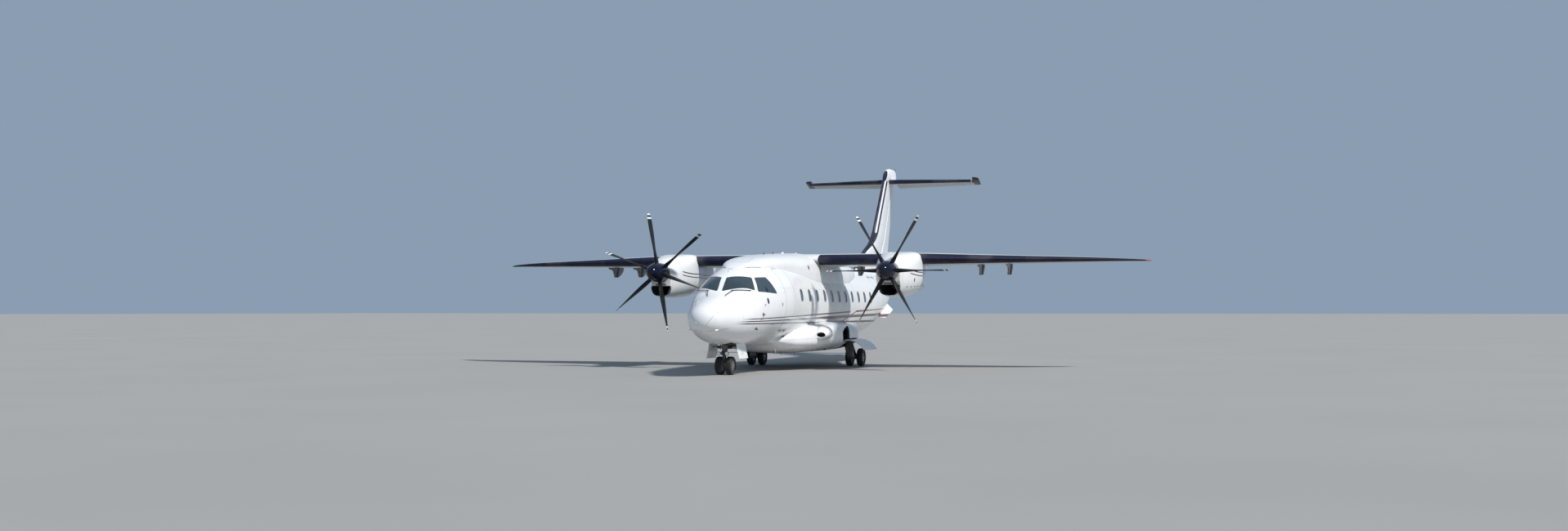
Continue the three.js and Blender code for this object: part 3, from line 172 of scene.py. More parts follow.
weather, given, out = new_group(
    "weather", {"Place": (0.0, 0.0, 0.0), "Scale": 1.0, "Streaks": 0.5}, {"Grime": "Float", "Ripple": "Float"}
)
soft = node(
    weather, "TexNoise", {"Vector": given["Place"], "Scale": given["Scale"], "Detail": 6.0}
).outputs["Fac"]
upright = node(weather, "Mapping", {"Vector": given["Place"], "Scale": (5.0, 5.0, 0.35)}).outputs[0]
runs = node(weather, "TexNoise", {"Vector": upright, "Scale": 2.2, "Detail": 4.0}).outputs["Fac"]
runs = times(weather, fade(weather, runs, 0.5, 0.72), given["Streaks"])
weather.links.new(calc(weather, "MAXIMUM", fade(weather, soft, 0.45, 0.8), runs), out["Grime"])
ripple = node(weather, "TexNoise", {"Vector": given["Place"], "Scale": 1.7, "Detail": 1.0}).outputs["Fac"]
weather.links.new(ripple, out["Ripple"])

joints, given, out = new_group(
    "joints",
    {"Along": 0.0, "Across": 0.0, "Pitch": 1.0, "Row": 1.0, "Shift": 0.0, "Width": 0.006},
    {"Line": "Float", "Rivets": "Float"},
)


def comb(tree, value, pitch, shift=0.0):
    """How far a value is from the nearest tooth of a comb, in the value's own unit."""
    turn = calc(tree, "DIVIDE", calc(tree, "ADD", value, shift), pitch)
    return times(tree, apart(tree, turn, calc(tree, "ROUND", turn)), pitch)


RIVET_ROW, RIVET_PITCH, RIVET_EDGE, RIVET_FLAT = 0.022, 0.03, 0.006, 0.002
ring = comb(joints, given["Along"], given["Pitch"], given["Shift"])
lap = comb(joints, given["Across"], given["Row"])
nearest = calc(joints, "MINIMUM", ring, lap)
joints.links.new(fade(joints, nearest, given["Width"], 0.0), out["Line"])
tooth = comb(joints, calc(joints, "ADD", given["Along"], given["Across"]), RIVET_PITCH)
beside = calc(joints, "ADD", apart(joints, nearest, RIVET_ROW), tooth)
joints.links.new(fade(joints, beside, RIVET_EDGE, RIVET_FLAT), out["Rivets"])

WHITE = (0.86, 0.87, 0.88, 1)
DIRT = (0.36, 0.34, 0.31, 1)
NAVY = (0.004, 0.006, 0.03, 1)
BROWN = (0.15, 0.075, 0.06, 1)
RED = (0.17, 0.02, 0.025, 1)
SEALANT = (0.2, 0.21, 0.22, 1)
COAT = 0.35


def painted(
    name, colour, pitch=2.1, row=0.6, shift=0.0, dirt=0.22, streaks=0.5, markings=None, rough=0.26,
    ahead=-20.0, axes="YZ",
):
    """Gloss paint on sheet: the colour, or what markings(tree, coordinates, colour) makes of it, darkened in
    the joints and by grime, duller where it is dirty, and dented a hair at joints and rivets. Markings also
    give a share that is matt rubber. The joints run square to the two axes, and none is drawn on rubber or
    ahead of a place along the aircraft."""
    made, tree, shader, place = material(name, Coat_Weight=COAT, Coat_Roughness=0.06, Specular_IOR_Level=0.3)
    parts = node(tree, "SeparateXYZ", {0: place}).outputs
    worn = use_group(tree, weather, Place=place, Scale=0.9, Streaks=streaks)
    seam = use_group(
        tree, joints, Along=parts[axes[0]], Across=parts[axes[1]], Pitch=pitch, Row=row, Shift=shift
    )
    paint, matt = markings(tree, parts, colour) if markings else (colour, 0.0)
    jointed = times(tree, fade(tree, parts["Y"], ahead - 0.01, ahead), calc(tree, "SUBTRACT", 1.0, matt))
    paint = blend(tree, times(tree, seam["Line"], 0.4, jointed), paint, SEALANT)
    paint = blend(tree, times(tree, worn["Grime"], dirt), paint, DIRT)
    tree.links.new(paint, shader.inputs["Base Color"])
    gloss = fade(tree, worn["Grime"], 0.0, 1.0, rough, rough + 0.22)
    tree.links.new(calc(tree, "MAXIMUM", gloss, times(tree, matt, 0.6)), shader.inputs["Roughness"])
    tree.links.new(calc(tree, "MULTIPLY_ADD", matt, -COAT, COAT), shader.inputs["Coat Weight"])
    dents = calc(tree, "ADD", seam["Line"], times(tree, seam["Rivets"], 0.3))
    height = calc(tree, "SUBTRACT", times(tree, worn["Ripple"], 0.4), times(tree, dents, jointed))
    bump = node(tree, "Bump", {"Height": height, "Strength": 0.35, "Distance": 0.002})
    tree.links.new(bump.outputs[0], shader.inputs["Normal"])
    return made


# Fuselage: a riveted aluminium tube with a composite radome and tail cone, each section butted on its
# neighbour round a frame. The skins are rolled smooth and cut out for the doors, windows and nose gear.
def through(rows, at):
    """A smooth line through the rows of a table, one column for each value: a cubic between two rows, with
    the slope at each row the harmonic mean of the slopes beside it, so that it never swings past a row."""
    t, values = rows[:, 0], rows[:, 1:]
    step = np.diff(t)[:, None]
    slope = np.diff(values, axis=0) / step
    before, after = slope[:-1], slope[1:]
    a, b = 2 * step[1:] + step[:-1], step[1:] + 2 * step[:-1]
    with np.errstate(divide="ignore", invalid="ignore"):
        inner = np.where(before * after > 0, (a + b) / (a / before + b / after), 0)
    tangent = np.vstack([slope[:1], inner, slope[-1:]])
    at = np.clip(at, t[0], t[-1])
    i = np.clip(np.searchsorted(t, at, side="right") - 1, 0, len(t) - 2)
    h = (t[i + 1] - t[i])[..., None]
    u = (at - t[i])[..., None] / h
    return (
        values[i] * (1 + 2 * u) * (1 - u) ** 2 + tangent[i] * h * u * (1 - u) ** 2
        + values[i + 1] * u**2 * (3 - 2 * u) + tangent[i + 1] * h * u**2 * (u - 1)
    )


def settle(piece, body, sharp):
    """Smooth shading but for edges sharper than an angle, and the body that the piece belongs to."""
    mesh = piece.data
    mesh.polygons.foreach_set("use_smooth", np.ones(len(mesh.polygons), bool))
    mesh.set_sharp_from_angle(angle=math.radians(sharp))
    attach(piece, body)
    return piece


def build(name, points, faces, body, slot, paints, centre=None, sharp=35, wall=0.0, uv=None, paint_of=None):
    """A piece from its points and its arrays of faces: points that meet are merged, faces are turned away
    from the centre, and edges sharper than an angle are kept. A wall gives it thickness inwards, with the
    last paint inside."""
    points = np.asarray(points, float).reshape(-1, 3)
    offset = points - (points.mean(0) if centre is None else np.asarray(centre))
    groups = [np.asarray(group) for group in faces]
    volume = 0.0
    for group in groups:
        for k in range(1, group.shape[1] - 1):
            a, b, c = (offset[group[:, j]] for j in (0, k, k + 1))
            volume += np.einsum("ij,ij->", a, np.cross(b, c))
    way = 1 if volume > 0 else -1
    mesh = new_mesh(name, points, [face for group in groups for face in group[:, ::way].tolist()], paints)
    if paint_of is not None:
        mesh.polygons.foreach_set("material_index", np.asarray(paint_of, np.int32))
    if uv is not None:
        corner = np.zeros(len(mesh.loops), np.int32)
        mesh.loops.foreach_get("vertex_index", corner)
        flat = np.asarray(uv, np.float32).reshape(-1, 2)[corner]
        mesh.uv_layers.new(name="UVMap").data.foreach_set("uv", flat.ravel())
    work = bmesh.new()
    work.from_mesh(mesh)
    bmesh.ops.remove_doubles(work, verts=work.verts, dist=2e-5)
    bmesh.ops.dissolve_degenerate(work, edges=work.edges, dist=1e-6)
    work.to_mesh(mesh)
    work.free()
    piece = placed(name, mesh)
    if wall:
        skin = piece.modifiers.new("wall", "SOLIDIFY")
        skin.thickness, skin.offset, skin.use_even_offset = wall, -1, True
        skin.material_offset = skin.material_offset_rim = len(paints) - 1
        mesh = bpy.data.meshes.new_from_object(piece.evaluated_get(bpy.context.evaluated_depsgraph_get()))
        mesh.name = name
        piece.modifiers.clear()
        piece.data = mesh
    return settle(piece, body, sharp)


def sheet(place, u, v, openings=(), inside=False):
    """Points and faces of a surface over a grid of two parameters. Near an opening's edge the grid's corners
    slide along the surface onto it, a cell the edge crosses is halved along it, and the cells within are left
    out, or with inside they alone are kept. An opening gives each point's distance to its edge, below zero
    within."""
    U, V = np.meshgrid(u, v, indexing="ij")
    du, dv = np.gradient(np.asarray(u, float))[:, None], np.gradient(np.asarray(v, float))[None, :]
    edge = lambda U, V: np.min([opening(place(U, V)) for opening in openings], axis=0)
    d = np.ones(U.shape)
    if openings:
        for _ in range(4):
            d = edge(U, V)
            a = (edge(U + 0.05 * du, V) - d) / 0.05
            b = (edge(U, V + 0.05 * dv) - d) / 0.05
            a[[0, -1]] = 0
            size = np.maximum(np.hypot(a, b), 1e-9)
            near = np.abs(d) < 0.5 * size
            U = U + np.where(near, -d * a / size**2, 0) * du
            V = V + np.where(near, -d * b / size**2, 0) * dv
        d = np.where(near, 0, edge(U, V))
        d = -d if inside else d
    index = np.arange(U.size).reshape(U.shape)
    A, B, C, D = index[:-1, :-1], index[1:, :-1], index[1:, 1:], index[:-1, 1:]
    flat = d.ravel()
    straight = np.abs(flat[A]) + np.abs(flat[C]) <= np.abs(flat[B]) + np.abs(flat[D])
    first = np.where(straight[..., None], np.stack([A, B, C], -1), np.stack([A, B, D], -1)).reshape(-1, 3)
    second = np.where(straight[..., None], np.stack([A, C, D], -1), np.stack([B, C, D], -1)).reshape(-1, 3)
    kept = [flat[half].sum(-1) > 1e-7 for half in (first, second)]
    both = kept[0] & kept[1]
    quads = np.stack([A, B, C, D], -1).reshape(-1, 4)[both]
    halves = np.vstack([first[kept[0] & ~both], second[kept[1] & ~both]])
    return place(U, V), [quads, halves]


def outline(corners, radius, view):
    """The distance to a many-cornered edge with rounded corners, seen in the plane that view(points) gives:
    the distance to the same edge set in by the radius, less the radius. Corners run anticlockwise."""
    corners = np.asarray(corners, float)
    along = np.roll(corners, -1, 0) - corners
    away = np.stack([along[:, 1], -along[:, 0]], 1) / np.hypot(*along.T)[:, None]
    lean = np.roll(away, 1, 0) + away
    inset = corners - radius * lean / (1 + (np.roll(away, 1, 0) * away).sum(1))[:, None]

    def distance(points):
        p, hidden = view(points)
        nearest, sign = np.full(p.shape[:-1], np.inf), np.ones(p.shape[:-1])
        for a, b in zip(inset, np.roll(inset, -1, 0)):
            e, w = b - a, p - a
            gap = w - np.clip(w @ e / (e @ e), 0, 1)[..., None] * e
            nearest = np.minimum(nearest, (gap**2).sum(-1))
            over, under, left = p[..., 1] >= a[1], p[..., 1] < b[1], e[0] * w[..., 1] > e[1] * w[..., 0]
            sign = np.where((over & under & left) | ~(over | under | left), -sign, sign)
        return np.where(hidden, 1.0, sign * np.sqrt(nearest) - radius)

    return distance


HULL = np.array([
    [0, 0, 1470, 1470, 1470], [40, 190, 1470, 1640, 1300], [160, 360, 1475, 1775, 1170],
    [450, 540, 1485, 1915, 1030], [850, 705, 1500, 2045, 905], [1290, 855, 1530, 2200, 825],
    [1710, 960, 1590, 2590, 780], [2150, 1040, 1660, 2785, 755], [2600, 1095, 1740, 2925, 750],
    [3100, 1140, 1820, 3040, 750], [3700, 1175, 1890, 3115, 750], [4500, 1200, 1950, 3150, 750],
    [12500, 1200, 1950, 3150, 750], [13300, 1195, 1960, 3150, 800], [14400, 1150, 2030, 3150, 975],
    [15600, 1040, 2150, 3145, 1260], [16900, 845, 2330, 3135, 1640], [18200, 590, 2540, 3120, 2060],
    [19400, 330, 2750, 3095, 2480], [20300, 120, 2930, 3060, 2820],
]) / 1000
HULL[:, 0] = np.sqrt(HULL[:, 0])
NOSE_TIP = -10.64
COCKPIT_BACK = -7.6


def hull_rings(station):
    """Half width, and the heights of the widest point, the top and the bottom, at a station."""
    return np.moveaxis(through(HULL, np.sqrt(np.maximum(station, 0))), -1, 0)


def hull_at(station, height):
    """Half width, height of the widest point, and how tall the skin is over or under it, at a station."""
    half, middle, top, bottom = hull_rings(station)
    return half, middle, np.where(height > middle, top - middle, middle - bottom)


def hull(station, angle, out=0.0):
    """The skin at a station: half an ellipse over the widest point and half of another under it."""
    half, middle, top, bottom = hull_rings(station)
    tall = np.where(np.sin(angle) > 0, top - middle, middle - bottom)
    x, z = (half + out) * np.cos(angle), middle + (tall + out) * np.sin(angle)
    return np.stack([x, station + NOSE_TIP, z], -1)


def off_hull(points):
    """How far points are outside the hull, along the line from the middle of their own ring."""
    x, y, z = np.moveaxis(points, -1, 0)
    half, middle, tall = hull_at(y - NOSE_TIP, z)
    level = np.hypot(x / half, (z - middle) / tall)
    return (level - 1) * np.hypot(x, z - middle) / np.maximum(level, 1e-6)


def side_view(side):
    """Seen square from one side: along and up, with the other side hidden."""
    return lambda points: (points[..., 1:], points[..., 0] * side < 0.05)


def box_corners(a0, b0, a1, b1):
    """The corners of a box, anticlockwise."""
    return [(a0, b0), (a1, b0), (a1, b1), (a0, b1)]


def lines(*spans):
    """Grid lines from spans of (from, to, pitch) laid end to end."""
    laid = [np.linspace(a, b, max(2, round((b - a) / pitch) + 1)) for a, b, pitch in spans]
    return np.unique(np.concatenate(laid).round(6))


def length(tree, a, b):
    """How far from nought the place given by two values is."""
    return calc(tree, "SQRT", calc(tree, "ADD", calc(tree, "POWER", a, 2.0), calc(tree, "POWER", b, 2.0)))


def framed(tree, along, across, a, b, long, tall, radius):
    """A thin line round a box with rounded corners, centred at (a, b) with half sizes long and tall: where
    the distance past the box set in by the radius, less the radius, is next to nothing."""
    past = [
        calc(tree, "SUBTRACT", apart(tree, value, middle), half - radius)
        for value, middle, half in ((along, a, long), (across, b, tall))
    ]
    corner = length(tree, *(calc(tree, "MAXIMUM", d, 0.0) for d in past))
    inner = calc(tree, "MINIMUM", calc(tree, "MAXIMUM", *past), 0.0)
    away = apart(tree, calc(tree, "ADD", corner, inner), radius)
    return times(tree, fade(tree, away, 0.009, 0.003), 0.75)


SEAM = (0.16, 0.17, 0.18, 1)
BOTH, LEFT, RIGHT = (1, -1), (1,), (-1,)
PANELS = [
    (BOTH, 10.38, 2.1, 0.42, 0.5, 0.12), (RIGHT, 3.91, 2.0, 0.33, 0.75, 0.11),
    (BOTH, 2.72, 1.22, 0.17, 0.12, 0.03), (LEFT, 3.91, 2.02, 0.364, 0.854, 0.114),
    (LEFT, 14.21, 2.15, 0.464, 0.704, 0.114), (LEFT, 12.3, 1.18, 0.2, 0.14, 0.03),
    (RIGHT, 12.9, 1.22, 0.24, 0.16, 0.03), (BOTH, 16.1, 2.1, 0.3, 0.24, 0.04),
    (RIGHT, 5.9, 1.12, 0.18, 0.13, 0.03),
]
STRIPES = [
    (1.459, 0.0215, 0.012, 0.022, (5, 8), (0.9, 1.5), (10.2, 10.3), NAVY),
    (1.459, 0.0215, 0.030, 0.016, (11, 13), (10.9, 11.0), (16.0, 16.6), RED),
    (1.409, 0.0125, 0.013, 0.013, (5, 6), (0.7, 1.4), (5.2, 6.6), NAVY),
    (1.409, 0.0125, 0.013, 0.043, (5, 8), (5.2, 6.6), (15.2, 15.6), BROWN),
    (1.367, 0.0, 0.014, 0.032, (5, 13), (0.6, 1.3), (15.0, 15.3), NAVY),
    (-0.833, 0.23, 0.02, 0.02, (9, 11), (9.5, 9.6), (10.98, 11.05), RED),
]


def fuselage_marks(tree, parts, colour):
    """Cheatlines along the side: each is a band about a height that rises evenly with the station, and its
    half width changes between two stations. The brown band starts as a thin dark line, a red one climbs
    across. A fine dark line goes round each door, hatch and small panel."""
    station = calc(tree, "SUBTRACT", parts["Y"], NOSE_TIP)
    paint = colour
    for height, rise, thin, thick, widens, starts, ends, ink in STRIPES:
        centre = calc(tree, "MULTIPLY_ADD", station, rise, height)
        half = ramp(tree, station, *widens, thin, thick)
        mask = fade(tree, calc(tree, "SUBTRACT", apart(tree, parts["Z"], centre), half), 0.004, -0.004)
        mask = times(tree, mask, fade(tree, station, *starts), fade(tree, station, *ends, 1.0, 0.0))
        paint = blend(tree, mask, paint, ink)
    for sides, y, z, long, tall, radius in PANELS:
        line = framed(tree, parts["Y"], parts["Z"], y + NOSE_TIP, z, long, tall, radius)
        for side in sides:
            here = fade(tree, times(tree, parts["X"], float(side)), -0.05, 0.05)
            paint = blend(tree, times(tree, line, here), paint, SEAM)
    return paint, 0.0


skin_paint = painted(
    "fuselage_paint", WHITE, pitch=2.05, row=0.78, shift=1.39, markings=fuselage_marks, ahead=COCKPIT_BACK
)
lining_paint = painted("primer", (0.30, 0.32, 0.27, 1), pitch=0.5, row=0.5, dirt=0.3, rough=0.5)

PI = math.pi
CABIN_MIDDLE = 1.9
PASSENGER_DOOR = (3.55, 1.17, 4.27, 2.87)
BAGGAGE_DOOR = (13.75, 1.45, 14.67, 2.85)
DOOR_CORNER = 0.11
BAY = (1.30, 2.42, 0.35)


def door_edge(door, margin):
    """A door's outline from the side, grown by a margin."""
    y0, z0, y1, z1 = door
    corners = box_corners(y0 - margin + NOSE_TIP, z0 - margin, y1 + margin + NOSE_TIP, z1 + margin)
    return outline(corners, DOOR_CORNER + margin, side_view(1))


WINDOW_PITCH, WINDOW_HEIGHT, WINDOW_CORNER = 0.787, 2.15, 0.105
WINDOW_LONG, WINDOW_TALL = 0.125, 0.18
CABIN_WINDOWS = [4.93 + WINDOW_PITCH * k for k in range(11)]


def cabin_edge(station, side):
    """One cabin window's outline from the side: tall, with round corners."""
    y, z = station + NOSE_TIP, WINDOW_HEIGHT
    corners = box_corners(y - WINDOW_LONG, z - WINDOW_TALL, y + WINDOW_LONG, z + WINDOW_TALL)
    return outline(corners, WINDOW_CORNER, side_view(side))


SCREENS = {
    "windscreen": (
        [[62, 1340, 2225], [800, 1905, 2240], [610, 2185, 2610], [62, 1735, 2585]], (250, -520, 420)
    ),
    "side_window": (
        [[872, 1985, 2225], [1065, 2990, 2165], [850, 2790, 2640], [672, 2290, 2610]], (600, -150, 260)
    ),
}
SCREEN_CORNER = 0.03


def screen_edge(name, side, margin):
    """A cockpit window's outline, seen straight through its pane, grown by a margin."""
    corners, push = SCREENS[name]
    corners = np.array(corners) / 1000 * (side, 1, 1) + (0, NOSE_TIP, 0)
    push = np.array(push, float) * (side, 1, 1)
    push /= np.linalg.norm(push)
    across = np.cross((0, 0, 1), push)
    across /= np.linalg.norm(across)
    up = np.cross(push, across)
    middle = corners.mean(0)
    flat = np.stack([(corners - middle) @ across, (corners - middle) @ up], 1)
    area = np.cross(flat, np.roll(flat, -1, 0)).sum()
    flat = flat if area > 0 else flat[::-1]
    view = lambda p: (np.stack([(p - middle) @ across, (p - middle) @ up], -1), (p - middle) @ push < -0.5)
    shape = outline(flat, SCREEN_CORNER, view)
    return lambda points: shape(points) - margin


def bay_edge(points):
    """The nose gear bay's outline from below."""
    view = lambda p: (p[..., :2], p[..., 2] > 1.25)
    y0, y1, half = BAY
    return outline(box_corners(-half, y0 + NOSE_TIP, half, y1 + NOSE_TIP), 0.02, view)(points)


screens = [screen_edge(name, side, 0.004) for name in SCREENS for side in (1, -1)]
port_of = lambda low, high: [cabin_edge(s, side) for s in CABIN_WINDOWS if low < s < high for side in (1, -1)]
every_way = lambda pitch: (-PI / 2, 1.5 * PI, pitch)
fine_sides = lines(
    (-1.57, -1.0, 0.02), (-1.0, 0.2, 0.06), (0.2, 2.94, 0.0145), (2.94, 4.14, 0.06), (4.14, 4.7124, 0.02)
)
door_rows = lines(
    (-1.5708, -0.8, 0.06), (-0.8, 1.02, 0.018), (1.02, 2.7, 0.05), (2.7, 3.2, 0.02), (3.2, 4.7124, 0.06)
)
window_rows = lines(
    (-1.5708, -0.02, 0.06), (-0.02, 0.36, 0.018), (0.36, 2.78, 0.055), (2.78, 3.16, 0.018),
    (3.16, 4.7124, 0.06),
)
window_lines = np.unique(np.concatenate([
    np.clip(np.concatenate([np.linspace(s - 0.15, s + 0.15, 17), [s + 0.28, s + 0.4, s + 0.51]]), 5.0, 13.3)
    for s in [4.93 - WINDOW_PITCH] + CABIN_WINDOWS
] + [[5.0, 13.3]]).round(6))
SECTIONS = {
    "radome": (np.linspace(0, math.sqrt(0.45), 22) ** 2, lines(every_way(0.07)), []),
    "nose_section": (
        lines((0.45, 1.3, 0.035), (1.3, 3.02, 0.0165), (3.02, 3.1, 0.03)), fine_sides, screens + [bay_edge],
    ),
    "forward_fuselage": (
        lines((3.1, 3.5, 0.05), (3.5, 4.32, 0.02), (4.32, 4.78, 0.05), (4.78, 5.0, 0.02)), door_rows,
        [door_edge(PASSENGER_DOOR, 0.008)] + port_of(4, 5),
    ),
    "centre_fuselage": (window_lines, window_rows, port_of(4, 14)),
    "rear_fuselage": (
        lines((13.3, 13.7, 0.05), (13.7, 14.72, 0.02), (14.72, 17.1, 0.1)), door_rows,
        [door_edge(BAGGAGE_DOOR, 0.008)],
    ),
    "tail_cone": (np.append(lines((17.1, 20.3, 0.09)), 20.3001), lines(every_way(0.07)), []),
}
for name, (stations, angles, openings) in SECTIONS.items():
    points, faces = sheet(hull, stations, angles, openings)
    if name == "tail_cone":
        points[-1] = points[-1].mean(0)
    middle = (0, float(np.mean(stations)) + NOSE_TIP, CABIN_MIDDLE)
    wall = 0.014 if openings else 0.004
    skin = build(
        name + "_skin", points, faces, "airframe", "white_paint", [skin_paint, lining_paint], middle,
        wall=wall
    )
    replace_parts(skin, name)


def leftover(name, node_name, on_skin, paint, body="airframe"):
    """What a CAD node has besides its outer skin, as one merged piece: linings, reveals, lugs and treads. The
    loose triangles' corners are rounded to a hundredth of a millimetre and joined where they agree."""
    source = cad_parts[node_name].data
    co = np.zeros(len(source.vertices) * 3, np.float32)
    source.vertices.foreach_get("co", co)
    source.calc_loop_triangles()
    tri = np.zeros(len(source.loop_triangles) * 3, np.int32)
    source.loop_triangles.foreach_get("vertices", tri)
    corner = co.reshape(-1, 3)[tri].astype(float).round(5)
    points, back = np.unique(corner, axis=0, return_inverse=True)
    back = back.reshape(-1, 3)
    a, b, c = (points[back[:, k]] for k in range(3))
    normal = np.cross(b - a, c - a)
    size = np.linalg.norm(normal, axis=1)
    keep = size > 1e-10
    keep[keep] &= ~on_skin((a + b + c)[keep] / 3, normal[keep] / size[keep, None])
    mesh = new_mesh(name, points, back[keep].tolist(), [paint])
    work = bmesh.new()
    work.from_mesh(mesh)
    bmesh.ops.delete(work, geom=[v for v in work.verts if not v.link_faces], context="VERTS")
    work.to_mesh(mesh)
    work.free()
    return settle(placed(name, mesh), body, 30)


def on_hull(middles, normals):
    """True for faces that look outwards from the hull's own surface, a little proud of it round the cockpit,
    and for the flat ends of a section."""
    x, y, z = middles.T
    half, middle, tall = hull_at(y - NOSE_TIP, z)
    out = np.stack([x / half**2, 0 * x, (z - middle) / tall**2], 1)
    out /= np.linalg.norm(out, axis=1)[:, None]
    level = np.hypot(x / half, (z - middle) / tall)
    near = (level > 0.93) & (level < np.where(y < COCKPIT_BACK, 1.025, 1.004))
    return ((normals * out).sum(1) > 0.7) & near | (np.abs(normals[:, 1]) > 0.99) & (level > 0.9)


for name, body in {
    "nose_section": "airframe", "forward_fuselage": "airframe", "rear_fuselage": "airframe",
    "passenger_door": "passenger_door", "baggage_door": "baggage_door",
}.items():
    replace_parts(leftover(name + "_lining", name, on_hull, lining_paint, body), name)

# Doors in the left side: curved aluminium panels on pressed frames, hinged below on the passenger door and
# above on the baggage door. The passenger door's skin stops short of the lugs that its edge swings round.
for name, (y0, z0, y1, z1), short in (
    ("passenger_door", PASSENGER_DOOR, 0.009), ("baggage_door", BAGGAGE_DOOR, 0.0)
):
    rim = door_edge((y0, z0 + short, y1, z1), 0.0)
    points, faces = sheet(hull, lines((y0 - 0.03, y1 + 0.03, 0.02)), lines((-0.8, 1.1, 0.018)), [rim], True)
    middle = (0, (y0 + y1) / 2 + NOSE_TIP, CABIN_MIDDLE)
    panel = build(
        name + "_skin", points, faces, name, "white_paint", [skin_paint, lining_paint], middle, wall=0.02
    )
    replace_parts(panel, name)

# Cockpit panes: two windscreens and two side windows of laminated glass and stretched acrylic, clamped in
# their frames from outside, a few millimetres under the skin.
def weathered(name, scale, streaks, clean, worn, smooth, dull, **plain):
    """A material that grime takes from a clean colour to a worn one, and from smooth to dull."""
    made, tree, shader, place = material(name, **plain)
    grime = use_group(tree, weather, Place=place, Scale=scale, Streaks=streaks)["Grime"]
    tree.links.new(blend(tree, grime, (*clean, 1), (*worn, 1)), shader.inputs["Base Color"])
    tree.links.new(fade(tree, grime, 0.0, 1.0, smooth, dull), shader.inputs["Roughness"])
    return made


HANDS = ((1, "left"), (-1, "right"))
screen_glass = weathered(
    "cockpit_glass", 3.0, 0.6, (0.17, 0.27, 0.34), (0.24, 0.33, 0.38), 0.03, 0.12,
    Metallic=0.0, Transmission_Weight=0.85, IOR=1.45, Coat_Weight=0.6, Coat_Roughness=0.02,
)
stations = lines((1.3, 3.02, 0.0165))
for name in SCREENS:
    for side, hand in HANDS:
        angles = lines((0.2, 1.6, 0.0145)) if side > 0 else lines((1.54, 2.94, 0.0145))
        edge = [screen_edge(name, side, 0.002)]
        points, faces = sheet(lambda u, v: hull(u, v, -0.005), stations, angles, edge, True)
        pane = build(
            f"{name}_pane_{hand}", points, faces, "airframe", "glass", [screen_glass], (0, -8.6, 1.7),
            wall=0.006
        )
        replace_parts(pane, f"{name}_{hand}")

# Cabin windows: eleven panes of stretched acrylic a side, opaque and dark: painted shade of the dim cabin
# behind them. Each is held against a seal from within, in a shallow recess of the skin.
def together(parts):
    """Several points-and-faces as one."""
    points, faces, count = [], [], 0
    for spots, groups in parts:
        points.append(np.asarray(spots).reshape(-1, 3))
        faces += [np.asarray(group) + count for group in groups]
        count += len(points[-1])
    return np.vstack(points), faces


# Opaque panes whose dark colour is painted shade of the unlit cabin; the glossy coat gives the reflections.
cabin_glass = weathered(
    "cabin_glass", 2.0, 0.2, (0.06, 0.07, 0.08), (0.11, 0.12, 0.13), 0.08, 0.2,
    Metallic=0.0, Transmission_Weight=0.0, Coat_Weight=0.8, Coat_Roughness=0.03, Specular_IOR_Level=0.7,
)
for side, hand in HANDS:
    rows = np.linspace(0.0, 0.34, 12) if side > 0 else np.linspace(PI - 0.34, PI, 12)
    panes = [
        sheet(lambda u, v: hull(u, v, -0.012), np.linspace(station - 0.14, station + 0.14, 4), rows)
        for station in CABIN_WINDOWS
    ]
    build(
        f"cabin_windows_{hand}", *together(panes), "airframe", "glass", [cabin_glass], (0, -1.5, CABIN_MIDDLE)
    )


# Wing fairing: a glass fibre shell that blends the wing into the cabin roof, screwed down round its foot on a
# rubber strip. It swells from the cockpit's roof to its full height over the wing and runs out again aft.
def squared(angle, power):
    """Across and up on a squared oval: cosine and sine, each to the power of two over the squareness."""
    across, up = np.cos(angle), np.sin(angle)
    return np.sign(across) * np.abs(across) ** (2 / power), np.sign(up) * np.abs(up) ** (2 / power)


HUMP = np.array([
    [2050, 2690, 2760, 2.4], [2350, 2845, 2850, 2.4], [2900, 3040, 2895, 2.6], [3700, 3205, 2892, 3.0],
    [4800, 3310, 2845, 3.0], [6200, 3390, 2690, 2.9], [7400, 3440, 2590, 2.8], [9200, 3450, 2585, 2.8],
    [10400, 3400, 2610, 2.7], [11500, 3310, 2740, 2.6], [12300, 3230, 2880, 2.4], [12750, 3185, 3010, 2.3],
    [13000, 3150, 3125, 2.2],
]) / (1000, 1000, 1000, 1)


def skin_x(station, height):
    """Half the fuselage's width at a height."""
    half, middle, tall = hull_at(station, height)
    return half * np.sqrt(np.maximum(0, 1 - ((height - middle) / tall) ** 2))


def hump(station, angle):
    """A squared half oval over the foot line, as wide there as the fuselage, which tucks in below it."""
    top, foot, power = np.moveaxis(through(HUMP, station), -1, 0)
    across, up = squared(angle, power)
    half = skin_x(station, foot) + 0.03 * np.clip(np.minimum(station - 2.3, 13.0 - station), 0, 1) - 0.01
    tall = np.where(up > 0, np.maximum(top - foot, 0.01), 0.1)
    return np.stack([half * across, station + NOSE_TIP, foot + tall * up], -1)


def fairing_marks(tree, parts, colour):
    """The crew's roof hatch, and two air inlets low on each side, near-black ovals of painted shade."""
    paint = blend(
        tree, framed(tree, parts["X"], parts["Y"], 0.0, 3.22 + NOSE_TIP, 0.23, 0.27, 0.05), colour, SEAM
    )
    # Near-black ovals on the skin: painted shade where the inlets would open inwards.
    for y, z in ((6.37, 2.98), (7.48, 3.02)):
        aft = calc(tree, "DIVIDE", calc(tree, "SUBTRACT", parts["Y"], y + NOSE_TIP), 0.05)
        up = calc(tree, "DIVIDE", calc(tree, "SUBTRACT", parts["Z"], z), 0.075)
        paint = blend(tree, fade(tree, length(tree, aft, up), 1.0, 0.9), paint, (0.01, 0.01, 0.012, 1))
    return paint, 0.0


points, faces = sheet(hump, lines((2.05, 13.0, 0.08)), lines((-0.6, PI + 0.6, 0.045)), [off_hull])
fairing_paint = painted("fairing_paint", WHITE, pitch=1.9, row=9.0, shift=0.35, markings=fairing_marks)
skin = build(
    "wing_fairing_skin", points, faces, "airframe", "white_composite", [fairing_paint], (0, -3, 2.6),
    wall=0.004,
)
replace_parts(skin, "wing_fairing")

